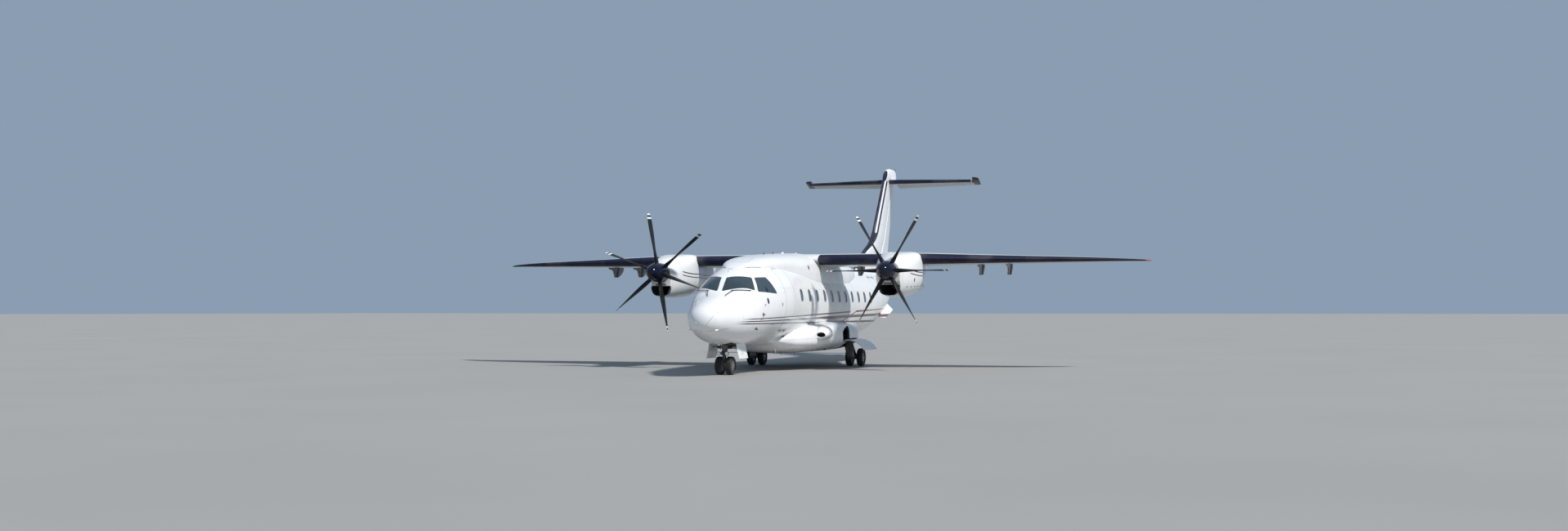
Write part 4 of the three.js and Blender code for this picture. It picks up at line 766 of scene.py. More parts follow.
# Belly fairing and gear sponsons: composite shells bolted round the lower fuselage, full in their upper
# corners. The main wheels fold into the sponsons, whose sides are open round the leg while the gear is down.
BELLY = np.array([
    [3800, 360, 960, 820, 2400], [4300, 620, 1000, 760, 2400], [4900, 1080, 1170, 560, 2800],
    [5700, 1400, 1290, 490, 3600], [6300, 1530, 1350, 470, 4400], [7000, 1620, 1380, 470, 4400],
    [7800, 1670, 1400, 470, 4200], [8900, 1650, 1400, 475, 4000], [9700, 1540, 1390, 490, 3400],
    [10700, 1330, 1340, 530, 3000], [11700, 1030, 1210, 610, 2600], [12600, 640, 1040, 740, 2400],
    [12900, 470, 990, 790, 2400], [13200, 260, 950, 850, 2400],
]) / 1000
KEEL = 2.6


def belly(station, angle):
    """The fairing's skin at a station: an oval squared above by its own power, and rounder below."""
    half, top, bottom, square = np.moveaxis(through(BELLY, station), -1, 0)
    middle = (top + bottom) / 2
    across, up = squared(angle, np.where(np.sin(angle) > 0, square, KEEL))
    return np.stack([half * across, station + NOSE_TIP, middle + (top - middle) * up], -1)


def belly_level(x, y, z):
    """1 on the fairing's own surface, less inside it."""
    half, top, bottom, square = np.moveaxis(through(BELLY, y - NOSE_TIP), -1, 0)
    middle = (top + bottom) / 2
    power = np.where(z > middle, square, KEEL)
    return (np.abs(x / half) ** power + np.abs((z - middle) / (top - middle)) ** power) ** (1 / power)


SPONSON_SPLIT = 0.76
BAY_SIDE = np.array([
    [8020, 300], [9620, 300], [9620, 872], [8321, 872], [8310, 1000], [8310, 1150], [8420, 1270],
    [7760, 1170], [7560, 1080], [7570, 930], [7640, 780], [8020, 780],
]) / 1000 + (NOSE_TIP, 0)
INLET = (1.52, 1.013)
underside = painted("belly_paint", WHITE, pitch=1.6, row=0.9, shift=0.2, dirt=0.24, streaks=0.7)
dark_lining = weathered(
    "bay_paint", 4.0, 0.8, (0.075, 0.08, 0.075), (0.03, 0.03, 0.03), 0.45, 0.75, Metallic=0.0
)
split_middle = lambda p: SPONSON_SPLIT - np.abs(p[..., 0])
points, faces = sheet(belly, lines((3.8, 13.2, 0.07)), lines(every_way(0.05)), [split_middle, off_hull])
skin = build(
    "belly_skin", points, faces, "airframe", "white_composite", [underside, dark_lining], (0, -2.5, 1.0),
    wall=0.005,
)
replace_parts(skin, "belly_fairing")


def eased(rows, places):
    """The rows of a table read smoothly at places that are counted in rows."""
    return through(np.column_stack([np.arange(len(rows)), np.asarray(rows)]), places)


def inlet_ring(side, rows):
    """An oval duct along the aircraft: rows of (station, across, up, half width, half height), smoothly
    joined."""
    row = eased(rows, np.linspace(0, len(rows) - 1, 6 * len(rows)))
    station, across, up, wide, tall = (row[:, k][:, None] for k in range(5))
    v = np.linspace(0, 2 * PI, 49)
    x, z = side * across + wide * np.cos(v), up + tall * np.sin(v)
    index = np.arange(len(row) * len(v)).reshape(-1, len(v))
    cells = np.stack([index[:-1, :-1], index[1:, :-1], index[1:, 1:], index[:-1, 1:]], -1)
    return np.stack([x, station + NOSE_TIP + 0 * v, z], -1), [cells.reshape(-1, 4)]


def on_sponson(middles, normals):
    """True for faces on the fairing's own surface, in the air inlet, or at the split from the belly."""
    x, y, z = middles.T
    step = 1e-4
    level = belly_level(x, y, z)
    slope = np.stack([
        belly_level(x + step, y, z) - level, belly_level(x, y + step, z) - level,
        belly_level(x, y, z + step) - level,
    ], 1)
    slope /= np.linalg.norm(slope, axis=1)[:, None] + 1e-12
    inlet = (y < -3.9) & (np.abs(np.abs(x) - 1.44) < 0.22) & (np.abs(z - 1.022) < 0.13)
    return ((normals * slope).sum(1) > 0.6) & (level > 0.9) & (level < 1.01) | inlet | (np.abs(x) < 0.77)


LIP_ROWS = [
    (5.95, 1.52, 1.013, 0.115, 0.060), (5.74, 1.52, 1.013, 0.125, 0.066), (5.69, 1.52, 1.013, 0.140, 0.080),
    (5.71, 1.515, 1.015, 0.165, 0.105), (5.8, 1.49, 1.030, 0.215, 0.150), (5.95, 1.46, 1.045, 0.245, 0.185),
    (6.25, 1.42, 1.060, 0.260, 0.210), (6.8, 1.38, 1.050, 0.220, 0.200),
]
DUCT_ROWS = [
    (5.745, 1.52, 1.013, 0.124, 0.065), (5.85, 1.52, 1.013, 0.11, 0.058), (5.97, 1.52, 1.013, 0.09, 0.045),
    (5.98, 1.52, 1.013, 0.0, 0.0),
]
for side, hand in HANDS:
    side_cut = outline(BAY_SIDE, 0.025, lambda p: (p[..., 1:], p[..., 0] * side < 1.13))
    mouth = lambda p: np.where(
        (p[..., 1] < -4.5) & (p[..., 1] > -5.4) & (p[..., 0] * side > 1),
        np.hypot((p[..., 0] - side * INLET[0]) / 0.13, (p[..., 2] - INLET[1]) / 0.07) * 0.1 - 0.1, 1.0,
    )
    splits = [lambda p: p[..., 0] * side - SPONSON_SPLIT, off_hull, side_cut, mouth]
    rows = lines((-1.6, 0.0, 0.03), (0.0, 1.6, 0.03))
    angles = rows if side > 0 else PI - rows[::-1]
    points, faces = sheet(belly, lines((3.8, 7.5, 0.06), (7.5, 9.7, 0.03), (9.7, 13.2, 0.07)), angles, splits)
    paints, centre = [underside, dark_lining], (side, -2.2, 1.0)
    skin = build(
        f"sponson_skin_{hand}", points, faces, "airframe", "white_composite", paints, centre, wall=0.012
    )
    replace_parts(skin, f"sponson_{hand}")
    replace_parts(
        leftover(f"sponson_bay_{hand}", f"sponson_{hand}", on_sponson, dark_lining), f"sponson_{hand}"
    )
    lip, cells = inlet_ring(side, LIP_ROWS)
    centre = (side * 1.44, -4.6, INLET[1])
    build(f"inlet_lip_{hand}", lip, cells, "airframe", "white_composite", [underside], centre)
    duct, cells = inlet_ring(side, DUCT_ROWS)
    centre = (side * INLET[0], -4.0, INLET[1])
    build(
        f"inlet_duct_{hand}", duct, [cells[0][:, ::-1]], "airframe", "black_composite", [dark_lining], centre
    )


# Wing: bonded and riveted aluminium skins over two spars, white above and light grey beneath, with rubber
# de-icing boots cemented round the leading edge, slotted flaps and plain ailerons.
class Slices:
    """Slices across a wing at distances from its root: nose, chord, height and thickness share of each, read
    from the rows of a table. The middle line is a flat arch on a slope, and the half thickness over a share u
    of the chord is 5 t (0.2969 root u - 0.126 u - 0.3516 u^2 + 0.2843 u^3 - 0.1036 u^4)."""

    def __init__(self, rows, at, camber=0.012, incidence=0.035):
        self.leading, self.chord, self.height, self.thick = (
            np.interp(np.abs(at), rows[:, 0], rows[:, k])[:, None] for k in (1, 2, 3, 4)
        )
        self.camber, self.incidence = camber, incidence

    def share(self, aft):
        """Where a place aft lies, as a share of the chord."""
        return (aft - self.leading) / self.chord

    def middle(self, aft):
        """The height of the middle line there."""
        u = self.share(aft)
        return self.height + self.chord * (4 * self.camber * u * (1 - u) - self.incidence * u)

    def half(self, aft):
        """Half the thickness there."""
        u = np.clip(self.share(aft), 0, 1)
        bulge = 0.2969 * np.sqrt(u) - 0.126 * u - 0.3516 * u**2 + 0.2843 * u**3 - 0.1036 * u**4
        return 5 * self.thick * self.chord * bulge

    def skin(self, start, end, way, count):
        """The upper (1) or lower (-1) side between two shares of the chord, with points close at the nose."""
        a, b = (np.arccos(1 - 2 * np.broadcast_to(s, self.chord.shape)) / PI for s in (start, end))
        aft = self.leading + self.chord * (1 - np.cos(PI * (a + (b - a) * np.linspace(0, 1, count)))) / 2
        return np.stack([aft, self.middle(aft) + way * self.half(aft)], -1)

    def at(self, aft, level):
        """Points at one station: 0 on the lower skin and 1 on the upper."""
        aft = np.broadcast_to(aft, self.chord.shape)
        return np.stack([aft, self.middle(aft) + self.half(aft) * (2 * level - 1)], -1)


def joined(*parts):
    """A closed profile from its parts, and which side each point is on: 1 upper, -1 lower, 0 neither."""
    sides = np.concatenate([np.full(points.shape[1], way) for points, way in parts])
    return np.concatenate([points for points, _ in parts], 1), sides


def whole(s):
    """A slice with nothing hinged to it."""
    return joined((s.skin(0.999, 0, 1, 26), 1), (s.skin(0, 0.999, -1, 26)[:, 1:], -1))


def arc(s, hinge, radius, start, end, stretch):
    """An arc about a hinge on the middle line, drawn out along the aircraft by the stretch."""
    angle = np.linspace(start, end, 14)
    radius = radius + 0 * s.chord
    return np.stack([hinge + stretch * radius * np.cos(angle), s.middle(hinge) + radius * np.sin(angle)], -1)


def before_hinge(s, hinge, stretch=1.0):
    """The fixed part ahead of a hinge, ending in a round cove about it."""
    end = s.share(hinge - 0.01)
    cove = arc(s, hinge, s.half(hinge) - 0.005, 2 * PI - 1.75, 1.75, stretch)
    return joined((s.skin(end, 0, 1, 26), 1), (s.skin(0, end, -1, 26)[:, 1:], -1), (cove, 0))


def behind_hinge(s, hinge, stretch=1.0):
    """The hinged part: a round nose inside the cove, then the skins to the trailing edge."""
    start = s.share(hinge + stretch * s.half(hinge) / math.tan(1.05))
    nose = arc(s, hinge, s.half(hinge) - 0.018, 1.05, 2 * PI - 1.05, stretch)
    return joined((s.skin(0.998, start, 1, 10), 1), (nose, 0), (s.skin(start, 0.998, -1, 10), -1))


FLAP_CHORD, SHROUD = 0.56, 0.13


def before_flap(s):
    """The wing ahead of a flap: its upper skin runs on as a shroud."""
    nose = s.leading + s.chord - FLAP_CHORD
    lip = nose + SHROUD
    cove = np.concatenate([
        s.at(nose - 0.04, 0.75), s.at(nose, 0.84) - (0.015, 0), s.at(lip, 1) - (0, 0.012)
    ], 1).reshape(len(s.chord), 3, 2)
    return joined(
        (s.skin(s.share(lip), 0, 1, 26), 1), (s.skin(0, s.share(nose - 0.04), -1, 26)[:, 1:], -1), (cove, 0)
    )


def flap_slice(s):
    """The flap: a blunt nose under the shroud, then the skins."""
    nose = s.leading + s.chord - FLAP_CHORD
    lip = nose + SHROUD
    round_nose = ((0.045, 0.56), (0.008, 0.42), (0, 0.28), (0.022, 0.08))
    front = [s.at(lip, 1) + (0.005, -0.032)] + [s.at(nose, level) + (aft, 0) for aft, level in round_nose]
    front = np.concatenate(front, 1).reshape(len(s.chord), 5, 2)
    upper = s.skin(0.998, s.share(lip + 0.025), 1, 10)
    lower = s.skin(s.share(nose + 0.09), 0.998, -1, 10)
    return joined((upper, 1), (front, 0), (lower, -1))


def span(name, slices, profile, place, at, body, slot, paints):
    """A closed piece of wing: the profile of each slice put in space by place, skinned from slice to slice,
    with flat ends. Its UV map holds the distance aft of the nose, below zero beneath, and the distance out;
    the lower skin takes the second paint and what faces a gap the third."""
    outline_points, way = profile
    points = place(at[:, None], outline_points)
    count = outline_points.shape[1]
    n = np.arange(count)
    ring = np.stack([n, (n + 1) % count], -1)
    first = (np.arange(len(at) - 1) * count)[:, None]
    quads = np.stack([ring[:, 0], ring[:, 1], count + ring[:, 1], count + ring[:, 0]], -1) + first[..., None]
    low = (way[ring[:, 0]] <= 0) & (way[ring[:, 1]] <= 0)
    gap = (way[ring[:, 0]] == 0) & (way[ring[:, 1]] == 0)
    kind = np.tile(np.where(gap, 2, np.where(low, 1, 0)), len(at) - 1)
    ends = np.stack([n, n + count * (len(at) - 1)])
    aft = (outline_points[..., 0] - slices.leading) * np.where(way < 0, -1, 1)
    uv = np.stack([aft, np.broadcast_to(np.abs(at)[:, None], aft.shape)], -1)
    kinds = np.concatenate([kind, [2, 2]])
    ends[0] = ends[0][::-1]
    return build(
        name, points, [quads.reshape(-1, 4), ends], body, slot, paints, uv=uv, paint_of=kinds, sharp=40
    )


WING = np.array([
    [0, 7200, 2550, 3235, 150], [4185, 7200, 2550, 3235, 150], [8700, 8480, 1270, 3215, 130],
    [9400, 8770, 980, 3210, 120], [9700, 8978, 772, 3208, 120], [9850, 9078, 716, 3207, 115],
    [10050, 9220, 640, 3205, 110], [10250, 9430, 500, 3203, 105], [10400, 9620, 360, 3201, 100],
    [10490, 9770, 260, 3200, 100],
]) / 1000
ROOT, NACELLE_IN, WING_JOINT, FLAP_END, WING_TIP = 1.18, 2.82, 4.185, 7.9, 10.49
AILERON = (7.96, 9.64)
AILERON_CHORD = 0.4
END_GAP = 0.012
BOOT_ROOT = 0.985
GREY = (0.42, 0.44, 0.46, 1)


def flat_map(tree):
    """The piece's own UV map, as two values."""
    return node(tree, "SeparateXYZ", {0: tree.nodes.new("ShaderNodeTexCoord").outputs["UV"]}).outputs


def wing_marks(tree, parts, colour):
    """The boots: a navy band round the leading edge, narrower outboard, that ends square beside the
    fuselage."""
    flat = flat_map(tree)
    reach = ramp(tree, flat["Y"], WING_JOINT, 10.2, 0.29, 0.085)
    away = calc(tree, "SUBTRACT", calc(tree, "ABSOLUTE", flat["X"]), reach)
    away = calc(tree, "MAXIMUM", away, calc(tree, "SUBTRACT", BOOT_ROOT, flat["Y"]))
    boot = fade(tree, away, 0.004, -0.002)
    return blend(tree, boot, colour, NAVY), boot


wing_paint, wing_grey = (
    painted(
        name, colour, pitch=1.45, row=0.62, shift=0.3, dirt=dirt, streaks=0.1, markings=wing_marks, axes="XY"
    )
    for name, colour, dirt in (("wing_paint", WHITE, 0.25), ("wing_underside", GREY, 0.3))
)
gap_paint = painted("gap_paint", (0.26, 0.28, 0.28, 1), pitch=5, row=5, dirt=0.5, rough=0.5)
wing_paints = [wing_paint, wing_grey, gap_paint]


def level_wing(x, profile):
    """Slices that stand across the aircraft: aft and up."""
    return np.stack([np.broadcast_to(x, profile.shape[:2]), profile[..., 0] + NOSE_TIP, profile[..., 1]], -1)


def wing_part(name, side, start, end, profile, body="airframe", *replaced):
    """One stretch of a wing, between two distances out, sliced evenly and at the rows of the table."""
    kinks = WING[(WING[:, 0] > start) & (WING[:, 0] < end), 0]
    at = np.unique(np.concatenate([np.linspace(start, end, max(2, round((end - start) / 0.3) + 1)), kinks]))
    s = Slices(WING, at)
    piece = span(name, s, profile(s), level_wing, side * at, body, "white_paint", wing_paints)
    if replaced:
        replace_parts(piece, *replaced)


aileron_hinge = lambda s: s.leading + s.chord - AILERON_CHORD
before_aileron = lambda s: before_hinge(s, aileron_hinge(s))
aileron_slice = lambda s: behind_hinge(s, aileron_hinge(s))
BAY_END, RIB_END, TIP_START = FLAP_END + END_GAP, AILERON[0] - END_GAP, AILERON[1] + END_GAP
FLAP_SPANS = {"inner": (ROOT + END_GAP, NACELLE_IN - END_GAP), "outer": (WING_JOINT + END_GAP, FLAP_END)}
for side, hand in HANDS:
    flaps, aileron = f"flaps_{hand}", f"aileron_{hand}"
    wing_part(f"wing_root_{hand}", side, 0.0, ROOT, whole, "airframe", "wing_centre")
    wing_part(f"wing_inner_{hand}", side, ROOT, NACELLE_IN, before_flap)
    wing_part(f"wing_at_nacelle_{hand}", side, NACELLE_IN, WING_JOINT, whole)
    wing_part(
        f"wing_flap_bay_{hand}", side, WING_JOINT, BAY_END, before_flap, "airframe", f"wing_outer_{hand}"
    )
    wing_part(f"wing_rib_{hand}", side, BAY_END, RIB_END, whole)
    wing_part(f"wing_aileron_bay_{hand}", side, RIB_END, TIP_START, before_aileron)
    wing_part(f"wing_tip_{hand}", side, TIP_START, WING_TIP, whole)
    for part, (start, end) in FLAP_SPANS.items():
        wing_part(f"flap_{part}_skin_{hand}", side, start, end, flap_slice, flaps, f"flap_{part}_{hand}")
    wing_part(f"aileron_skin_{hand}", side, *AILERON, aileron_slice, aileron, aileron)


# Flap track fairings: glass fibre canoes under the wing round each flap hinge, in two halves. The front half
# is screwed to the wing and holds the hinge pin; the tail and a pair of forged arms beside it swing with the
# flap.
def full_turn(count):
    """The angles of even steps round a circle."""
    return np.linspace(0, 2 * PI, count, endpoint=False)


def tube(path, radius, sides=12, ends=True):
    """A round profile carried along a path of points: rings square to the path, with flat ends. The radius
    may be one number or one for each point."""
    path = np.asarray(path, float)
    along = np.gradient(path, axis=0)
    along /= np.linalg.norm(along, axis=1)[:, None]
    side = np.cross(along, (0.31, 0.17, 0.93))
    side /= np.linalg.norm(side, axis=1)[:, None]
    up = np.cross(along, side)
    angle = full_turn(sides)
    size = np.broadcast_to(radius, len(path))[:, None, None]
    ring = side[:, None] * np.cos(angle)[:, None] + up[:, None] * np.sin(angle)[:, None]
    return looped(path[:, None] + size * ring, ends)


def looped(points, ends=True):
    """Faces over rings of points that close on themselves, with flat ends."""
    rings, count = points.shape[:2]
    n, after = np.arange(count), (np.arange(count) + 1) % count
    first = (np.arange(rings - 1) * count)[:, None]
    quads = np.stack([first + n, first + after, first + count + after, first + count + n], -1).reshape(-1, 4)
    caps = np.stack([n[::-1], n + count * (rings - 1)])
    return points.reshape(-1, 3), [quads] + ([caps] if ends else [])


def plate(corners, start, end):
    """A flat plate: a cornered edge carried from one offset to another across it."""
    corners = np.asarray(corners, float)
    return looped(np.stack([corners + start, corners + end]))


TRACKS = (1.78, 5.548, 6.402)
FLAP_HINGE = (-1.47, 2.82)
track_paint = weathered(
    "track_fairing", 5.0, 0.6, (0.22, 0.225, 0.235), (0.13, 0.125, 0.12), 0.35, 0.6, Coat_Weight=0.15
)
steel = weathered("gear_steel", 9.0, 0.7, (0.14, 0.14, 0.145), (0.05, 0.045, 0.04), 0.3, 0.6, Metallic=0.85)


def canoe(x, aft, low, width, roof):
    """A deep round channel: rings hanging from the roof line, wide at the top and drawn in below."""
    row = eased(np.column_stack([aft, low, width, roof]), np.linspace(0, len(aft) - 1, 5 * len(aft)))
    aft, low, width, roof = (row[:, k][:, None] for k in range(4))
    across, down = squared(PI / 2 - np.linspace(-PI / 2, PI / 2, 19), 2.8)
    height = roof - (roof - low) * np.maximum(down, 0)
    return looped(np.stack([x + width * across, np.broadcast_to(aft, height.shape), height], -1))


for side, hand in HANDS:
    fixed, moving, arms = [], [], []
    for x in TRACKS:
        s = Slices(WING, np.array([x]))
        nose = float(s.leading[0, 0] + s.chord[0, 0]) - FLAP_CHORD
        under = lambda aft: float(s.at(aft, 0)[0, 0, 1])
        y, z = FLAP_HINGE
        aft = [nose - 0.64, nose - 0.32, nose - 0.15, nose - 0.045]
        base = z - 0.035
        low = [under(aft[0]) - 0.04, base * 0.35 + under(nose) * 0.65, base, base]
        roof = [under(a) + 0.012 for a in aft]
        fixed.append(canoe(side * x, np.array(aft) + NOSE_TIP, low, [0.008, 0.03, 0.038, 0.034], roof))
        aft = [nose + 0.035, nose + 0.24, nose + 0.43, nose + 0.545]
        low = [z - 0.035, z + 0.02, z + 0.12, z + 0.205]
        roof = [under(a) + 0.006 for a in aft]
        moving.append(canoe(side * x, np.array(aft) + NOSE_TIP, low, [0.047, 0.047, 0.034, 0.012], roof))
        top = under(nose + 0.14) + 0.014
        arm = [
            (0, y - 0.03, z - 0.024), (0, y + 0.03, z - 0.028), (0, nose + 0.23 + NOSE_TIP, top),
            (0, nose + 0.06 + NOSE_TIP, top), (0, y - 0.03, z + 0.03),
        ]
        for way in (-1, 1):
            a, b = sorted((side * x + way * 0.044, side * x + way * 0.058))
            arms.append(plate(arm, (a, 0, 0), (b, 0, 0)))
        fixed.append(tube([(side * x - 0.062, y, z), (side * x + 0.062, y, z)], 0.012))
        fixed.append(tube([(side * x, nose - 0.17 + NOSE_TIP, z), (side * x, y + 0.02, z)], 0.027))
    build(f"track_fairings_{hand}", *together(fixed), "airframe", "engine", [track_paint])
    build(f"track_tails_{hand}", *together(moving), f"flaps_{hand}", "engine", [track_paint])
    build(f"flap_arms_{hand}", *together(arms), f"flaps_{hand}", "gear_metal", [steel])

# Fin and rudder: riveted aluminium skins, the foot of the leading edge drawn forward over the fuselage. The
# edge is painted navy, with a white stripe and a navy line behind it; the rudder hangs on three hinges.
FIN = np.array([
    [3080, 14900, 19760, 55], [3500, 15650, 19890, 65], [3850, 16350, 20010, 80], [4150, 17150, 20110, 100],
    [4600, 17790, 20270, 120], [4800, 17945, 20342, 120], [6560, 19310, 20975, 125],
    [6600, 19341, 20989, 125],
]) / 1000
HINGE_FOOT, HINGE_RUN, HINGE_RISE = 18.68, 1.32, 1.97
rudder_hinge = lambda z: HINGE_FOOT + HINGE_RUN * (z - 3.93) / HINGE_RISE
LEAN = math.hypot(1, HINGE_RUN / HINGE_RISE)


def fin_marks(tree, parts, colour):
    """Stripes by the distance aft of the leading edge: a navy edge, a white stripe that ends low
    down in a round end, a navy line, and all navy at the foot, wider where the edge curves forward."""
    flat = flat_map(tree)
    aft, height = calc(tree, "ABSOLUTE", flat["X"]), flat["Y"]
    width = ramp(tree, height, 3.3, 4.3, 0.05, 0.30)
    paint = blend(tree, fade(tree, aft, calc(tree, "ADD", width, 0.004), width), colour, NAVY)
    below = calc(tree, "MINIMUM", calc(tree, "SUBTRACT", height, 4.62), 0.0)
    away = length(tree, calc(tree, "SUBTRACT", aft, 0.102), below)
    return blend(tree, fade(tree, away, 0.06, 0.052), paint, WHITE), 0.0


fin_paint = painted("fin_paint", WHITE, pitch=5.0, row=0.7, shift=0.1, dirt=0.2, markings=fin_marks)
tail_white = painted("tail_paint", WHITE, pitch=0.9, row=0.7, shift=0.1, dirt=0.2, streaks=0.3)
fin_paints = [fin_paint, fin_paint, gap_paint]
tail_paints = [tail_white, tail_white, gap_paint]


class FinSlices(Slices):
    """Level slices of the fin at heights, smooth up its curved foot."""

    def __init__(self, at):
        leading, trailing, thick = np.moveaxis(through(FIN, at), -1, 0)
        self.leading, self.chord, self.thick = leading[:, None], (trailing - leading)[:, None], thick[:, None]
        self.height, self.camber, self.incidence = 0 * self.leading, 0, 0


def upright(z, profile):
    """Level slices: the profile's up is across the aircraft."""
    return np.stack([profile[..., 1], profile[..., 0] + NOSE_TIP, np.broadcast_to(z, profile.shape[:2])], -1)


def fin_part(name, start, end, profile, body, slot, paints, *replaced):
    """One stretch of the fin or rudder, between two heights."""
    at = np.linspace(start, end, max(3, round((end - start) / 0.06) + 1))
    s = FinSlices(at)
    piece = span(name, s, profile(s, at[:, None]), upright, at, body, slot, paints)
    if replaced:
        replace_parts(piece, *replaced)


fixed_fin = lambda s, z: whole(s)
before_rudder = lambda s, z: before_hinge(s, rudder_hinge(z), LEAN)
rudder_slice = lambda s, z: behind_hinge(s, rudder_hinge(z), LEAN)
fin_part("fin_foot", 3.08, 3.31, fixed_fin, "airframe", "white_paint", fin_paints, "fin")
fin_part("fin_main", 3.31, 6.45, before_rudder, "airframe", "white_paint", fin_paints)
fin_part("fin_head", 6.45, 6.6, fixed_fin, "airframe", "white_paint", fin_paints)
fin_part("rudder_skin", 3.33, 6.4, rudder_slice, "rudder", "white_paint", tail_paints, "rudder")

# Tailplane and elevators: a fixed stabiliser of riveted aluminium on top of the fin, with a dark boot round
# its nose and a grey underside. The two elevators are tied together, carry balance horns at their tips, and
# hang down when the aircraft is parked.
TAIL = np.array([[0, 19740, 1530, 6610, 120], [3220, 20200, 860, 6605, 120]]) / 1000
HORN = np.array([
    [3165, 20390, 680, 6605, 140], [3330, 20410, 650, 6605, 130], [3395, 20480, 560, 6605, 90],
]) / 1000
HINGE_Y, HINGE_Z, DROOP = 20.77, 6.605, math.radians(20)


def tail_marks(tree, parts, colour):
    """The boot: a dark band round the nose."""
    flat = flat_map(tree)
    reach = ramp(tree, flat["Y"], 0.0, 3.2, 0.30, 0.20)
    boot = fade(tree, calc(tree, "SUBTRACT", calc(tree, "ABSOLUTE", flat["X"]), reach), 0.003, -0.003)
    return blend(tree, boot, colour, NAVY), boot


stabiliser_top = painted(
    "tailplane_paint", WHITE, pitch=5.0, row=5.0, dirt=0.2, streaks=0.1, markings=tail_marks
)
stabiliser_low = painted(
    "tailplane_underside", GREY, pitch=5.0, row=5.0, dirt=0.2, streaks=0.1, markings=tail_marks
)
horn_paint = painted("horn_paint", (0.012, 0.014, 0.03, 1), pitch=5.0, row=5.0, dirt=0.15, streaks=0.1)
elevator_low = painted("elevator_underside", GREY, pitch=5.0, row=5.0, dirt=0.2, streaks=0.1)


def droop(points):
    """Turned down about the elevator's hinge line."""
    y, z = points[..., 1] - HINGE_Y - NOSE_TIP, points[..., 2] - HINGE_Z
    c, n = math.cos(DROOP), math.sin(DROOP)
    return np.stack([points[..., 0], HINGE_Y + NOSE_TIP + y * c + z * n, HINGE_Z - y * n + z * c], -1)


stabiliser_paints = [stabiliser_top, stabiliser_low, gap_paint]
elevator_paints = [tail_white, elevator_low, gap_paint]
drooped = lambda x, profile: droop(level_wing(x, profile))
at = np.array([-0.178, 0, 0.178])
s = Slices(TAIL, at, 0, 0)
middle_piece = span(
    "tailplane_middle", s, whole(s), level_wing, at, "airframe", "white_paint", stabiliser_paints
)
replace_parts(middle_piece, "tailplane")
for side, hand in HANDS:
    at = np.linspace(0.178, 3.153, 12)
    s = Slices(TAIL, at, 0, 0)
    slices = before_hinge(s, HINGE_Y)
    span(f"tailplane_{hand}", s, slices, level_wing, side * at, "airframe", "white_paint", stabiliser_paints)
    at = np.linspace(0.19, 3.17, 12)
    s = Slices(TAIL, at, 0, 0)
    slices = behind_hinge(s, HINGE_Y)
    surface = span(
        f"elevator_skin_{hand}", s, slices, drooped, side * at, "elevators", "white_paint", elevator_paints
    )
    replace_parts(surface, f"elevator_{hand}")
    at = np.array([3.165, 3.25, 3.33, 3.365, 3.39, 3.395])
    s = Slices(HORN, at, 0, 0)
    s.thick = s.thick * np.array([1, 1, 1, 0.9, 0.6, 0.3])[:, None]
    span(
        f"elevator_horn_{hand}", s, whole(s), drooped, side * at, "elevators", "navy_paint", [horn_paint] * 3
    )

# Fin tip: a moulded glass fibre cap over the tailplane's root, screwed down to the fin and drawn out aft. A
# dark post at its end carries the tail light.
CAP = np.array([
    [19330, 20, 6600, 6650], [19480, 70, 6560, 6790], [19680, 105, 6520, 6960], [19900, 125, 6510, 7070],
    [20200, 140, 6500, 7120], [20750, 125, 6500, 7130], [21080, 75, 6540, 7110], [21150, 30, 6600, 7060],
]) / 1000
CAP_SQUARE = 2.4


def cap(station, angle):
    """The cap's skin at a station: a squared oval between its lower and upper line."""
    half, bottom, top = np.moveaxis(through(CAP, station), -1, 0)
    across, up = squared(angle, CAP_SQUARE)
    return np.stack([half * across, station + NOSE_TIP, (top + bottom) / 2 + (top - bottom) / 2 * up], -1)


def cap_marks(tree, parts, colour):
    """A navy band up the nose of the cap, where the fin's navy edge ends."""
    edge = calc(tree, "SUBTRACT", parts["Y"], times(tree, calc(tree, "SUBTRACT", parts["Z"], 6.6), 0.8))
    return blend(tree, fade(tree, edge, 8.805, 8.795), colour, NAVY), 0.0


cap_paint = painted("fin_tip_paint", WHITE, pitch=3.0, row=3.0, dirt=0.18, markings=cap_marks)
points, faces = sheet(cap, lines((19.33, 21.15, 0.04)), lines(every_way(0.08)), [lambda p: p[..., 2] - 6.6])
points[0], points[-1] = points[0].mean(0), points[-1].mean(0)
tip = build(
    "fin_tip_skin", points, faces, "airframe", "white_paint", [cap_paint, gap_paint], (0, 9.6, 6.75),
    wall=0.004
)
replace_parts(tip, "fin_tip")
post = np.array([
    [21120, 26, 6905, 7150], [21150, 25, 6915, 7228], [21180, 24, 6930, 7235], [21260, 20, 6930, 7235],
    [21279, 12, 6945, 7220],
]) / 1000
t = np.linspace(0, len(post) - 1, 21)
half, low, high = eased(post[:, 1:], t).T
aft = np.interp(t, np.arange(len(post)), post[:, 0])
across, up = squared(full_turn(24), CAP_SQUARE)
height = (low + high)[:, None] / 2 + (high - low)[:, None] / 2 * up
y = np.broadcast_to((aft + NOSE_TIP)[:, None], height.shape)
ring = np.stack([half[:, None] * across, y, height], -1)
build("tail_light_post", *looped(ring), "airframe", "black_composite", [track_paint])

# Strakes: two flat fins canted out and down from the rear fuselage, aluminium skins bonded on a foam core and
# riveted to the frames at their foot.
def strake_marks(tree, parts, colour):
    """The brown band of the fuselage carried across."""
    line = calc(tree, "MULTIPLY_ADD", calc(tree, "SUBTRACT", parts["Y"], 4.9), 0.02, 1.555)
    return blend(tree, fade(tree, apart(tree, parts["Z"], line), 0.05, 0.042), colour, BROWN), 0.0


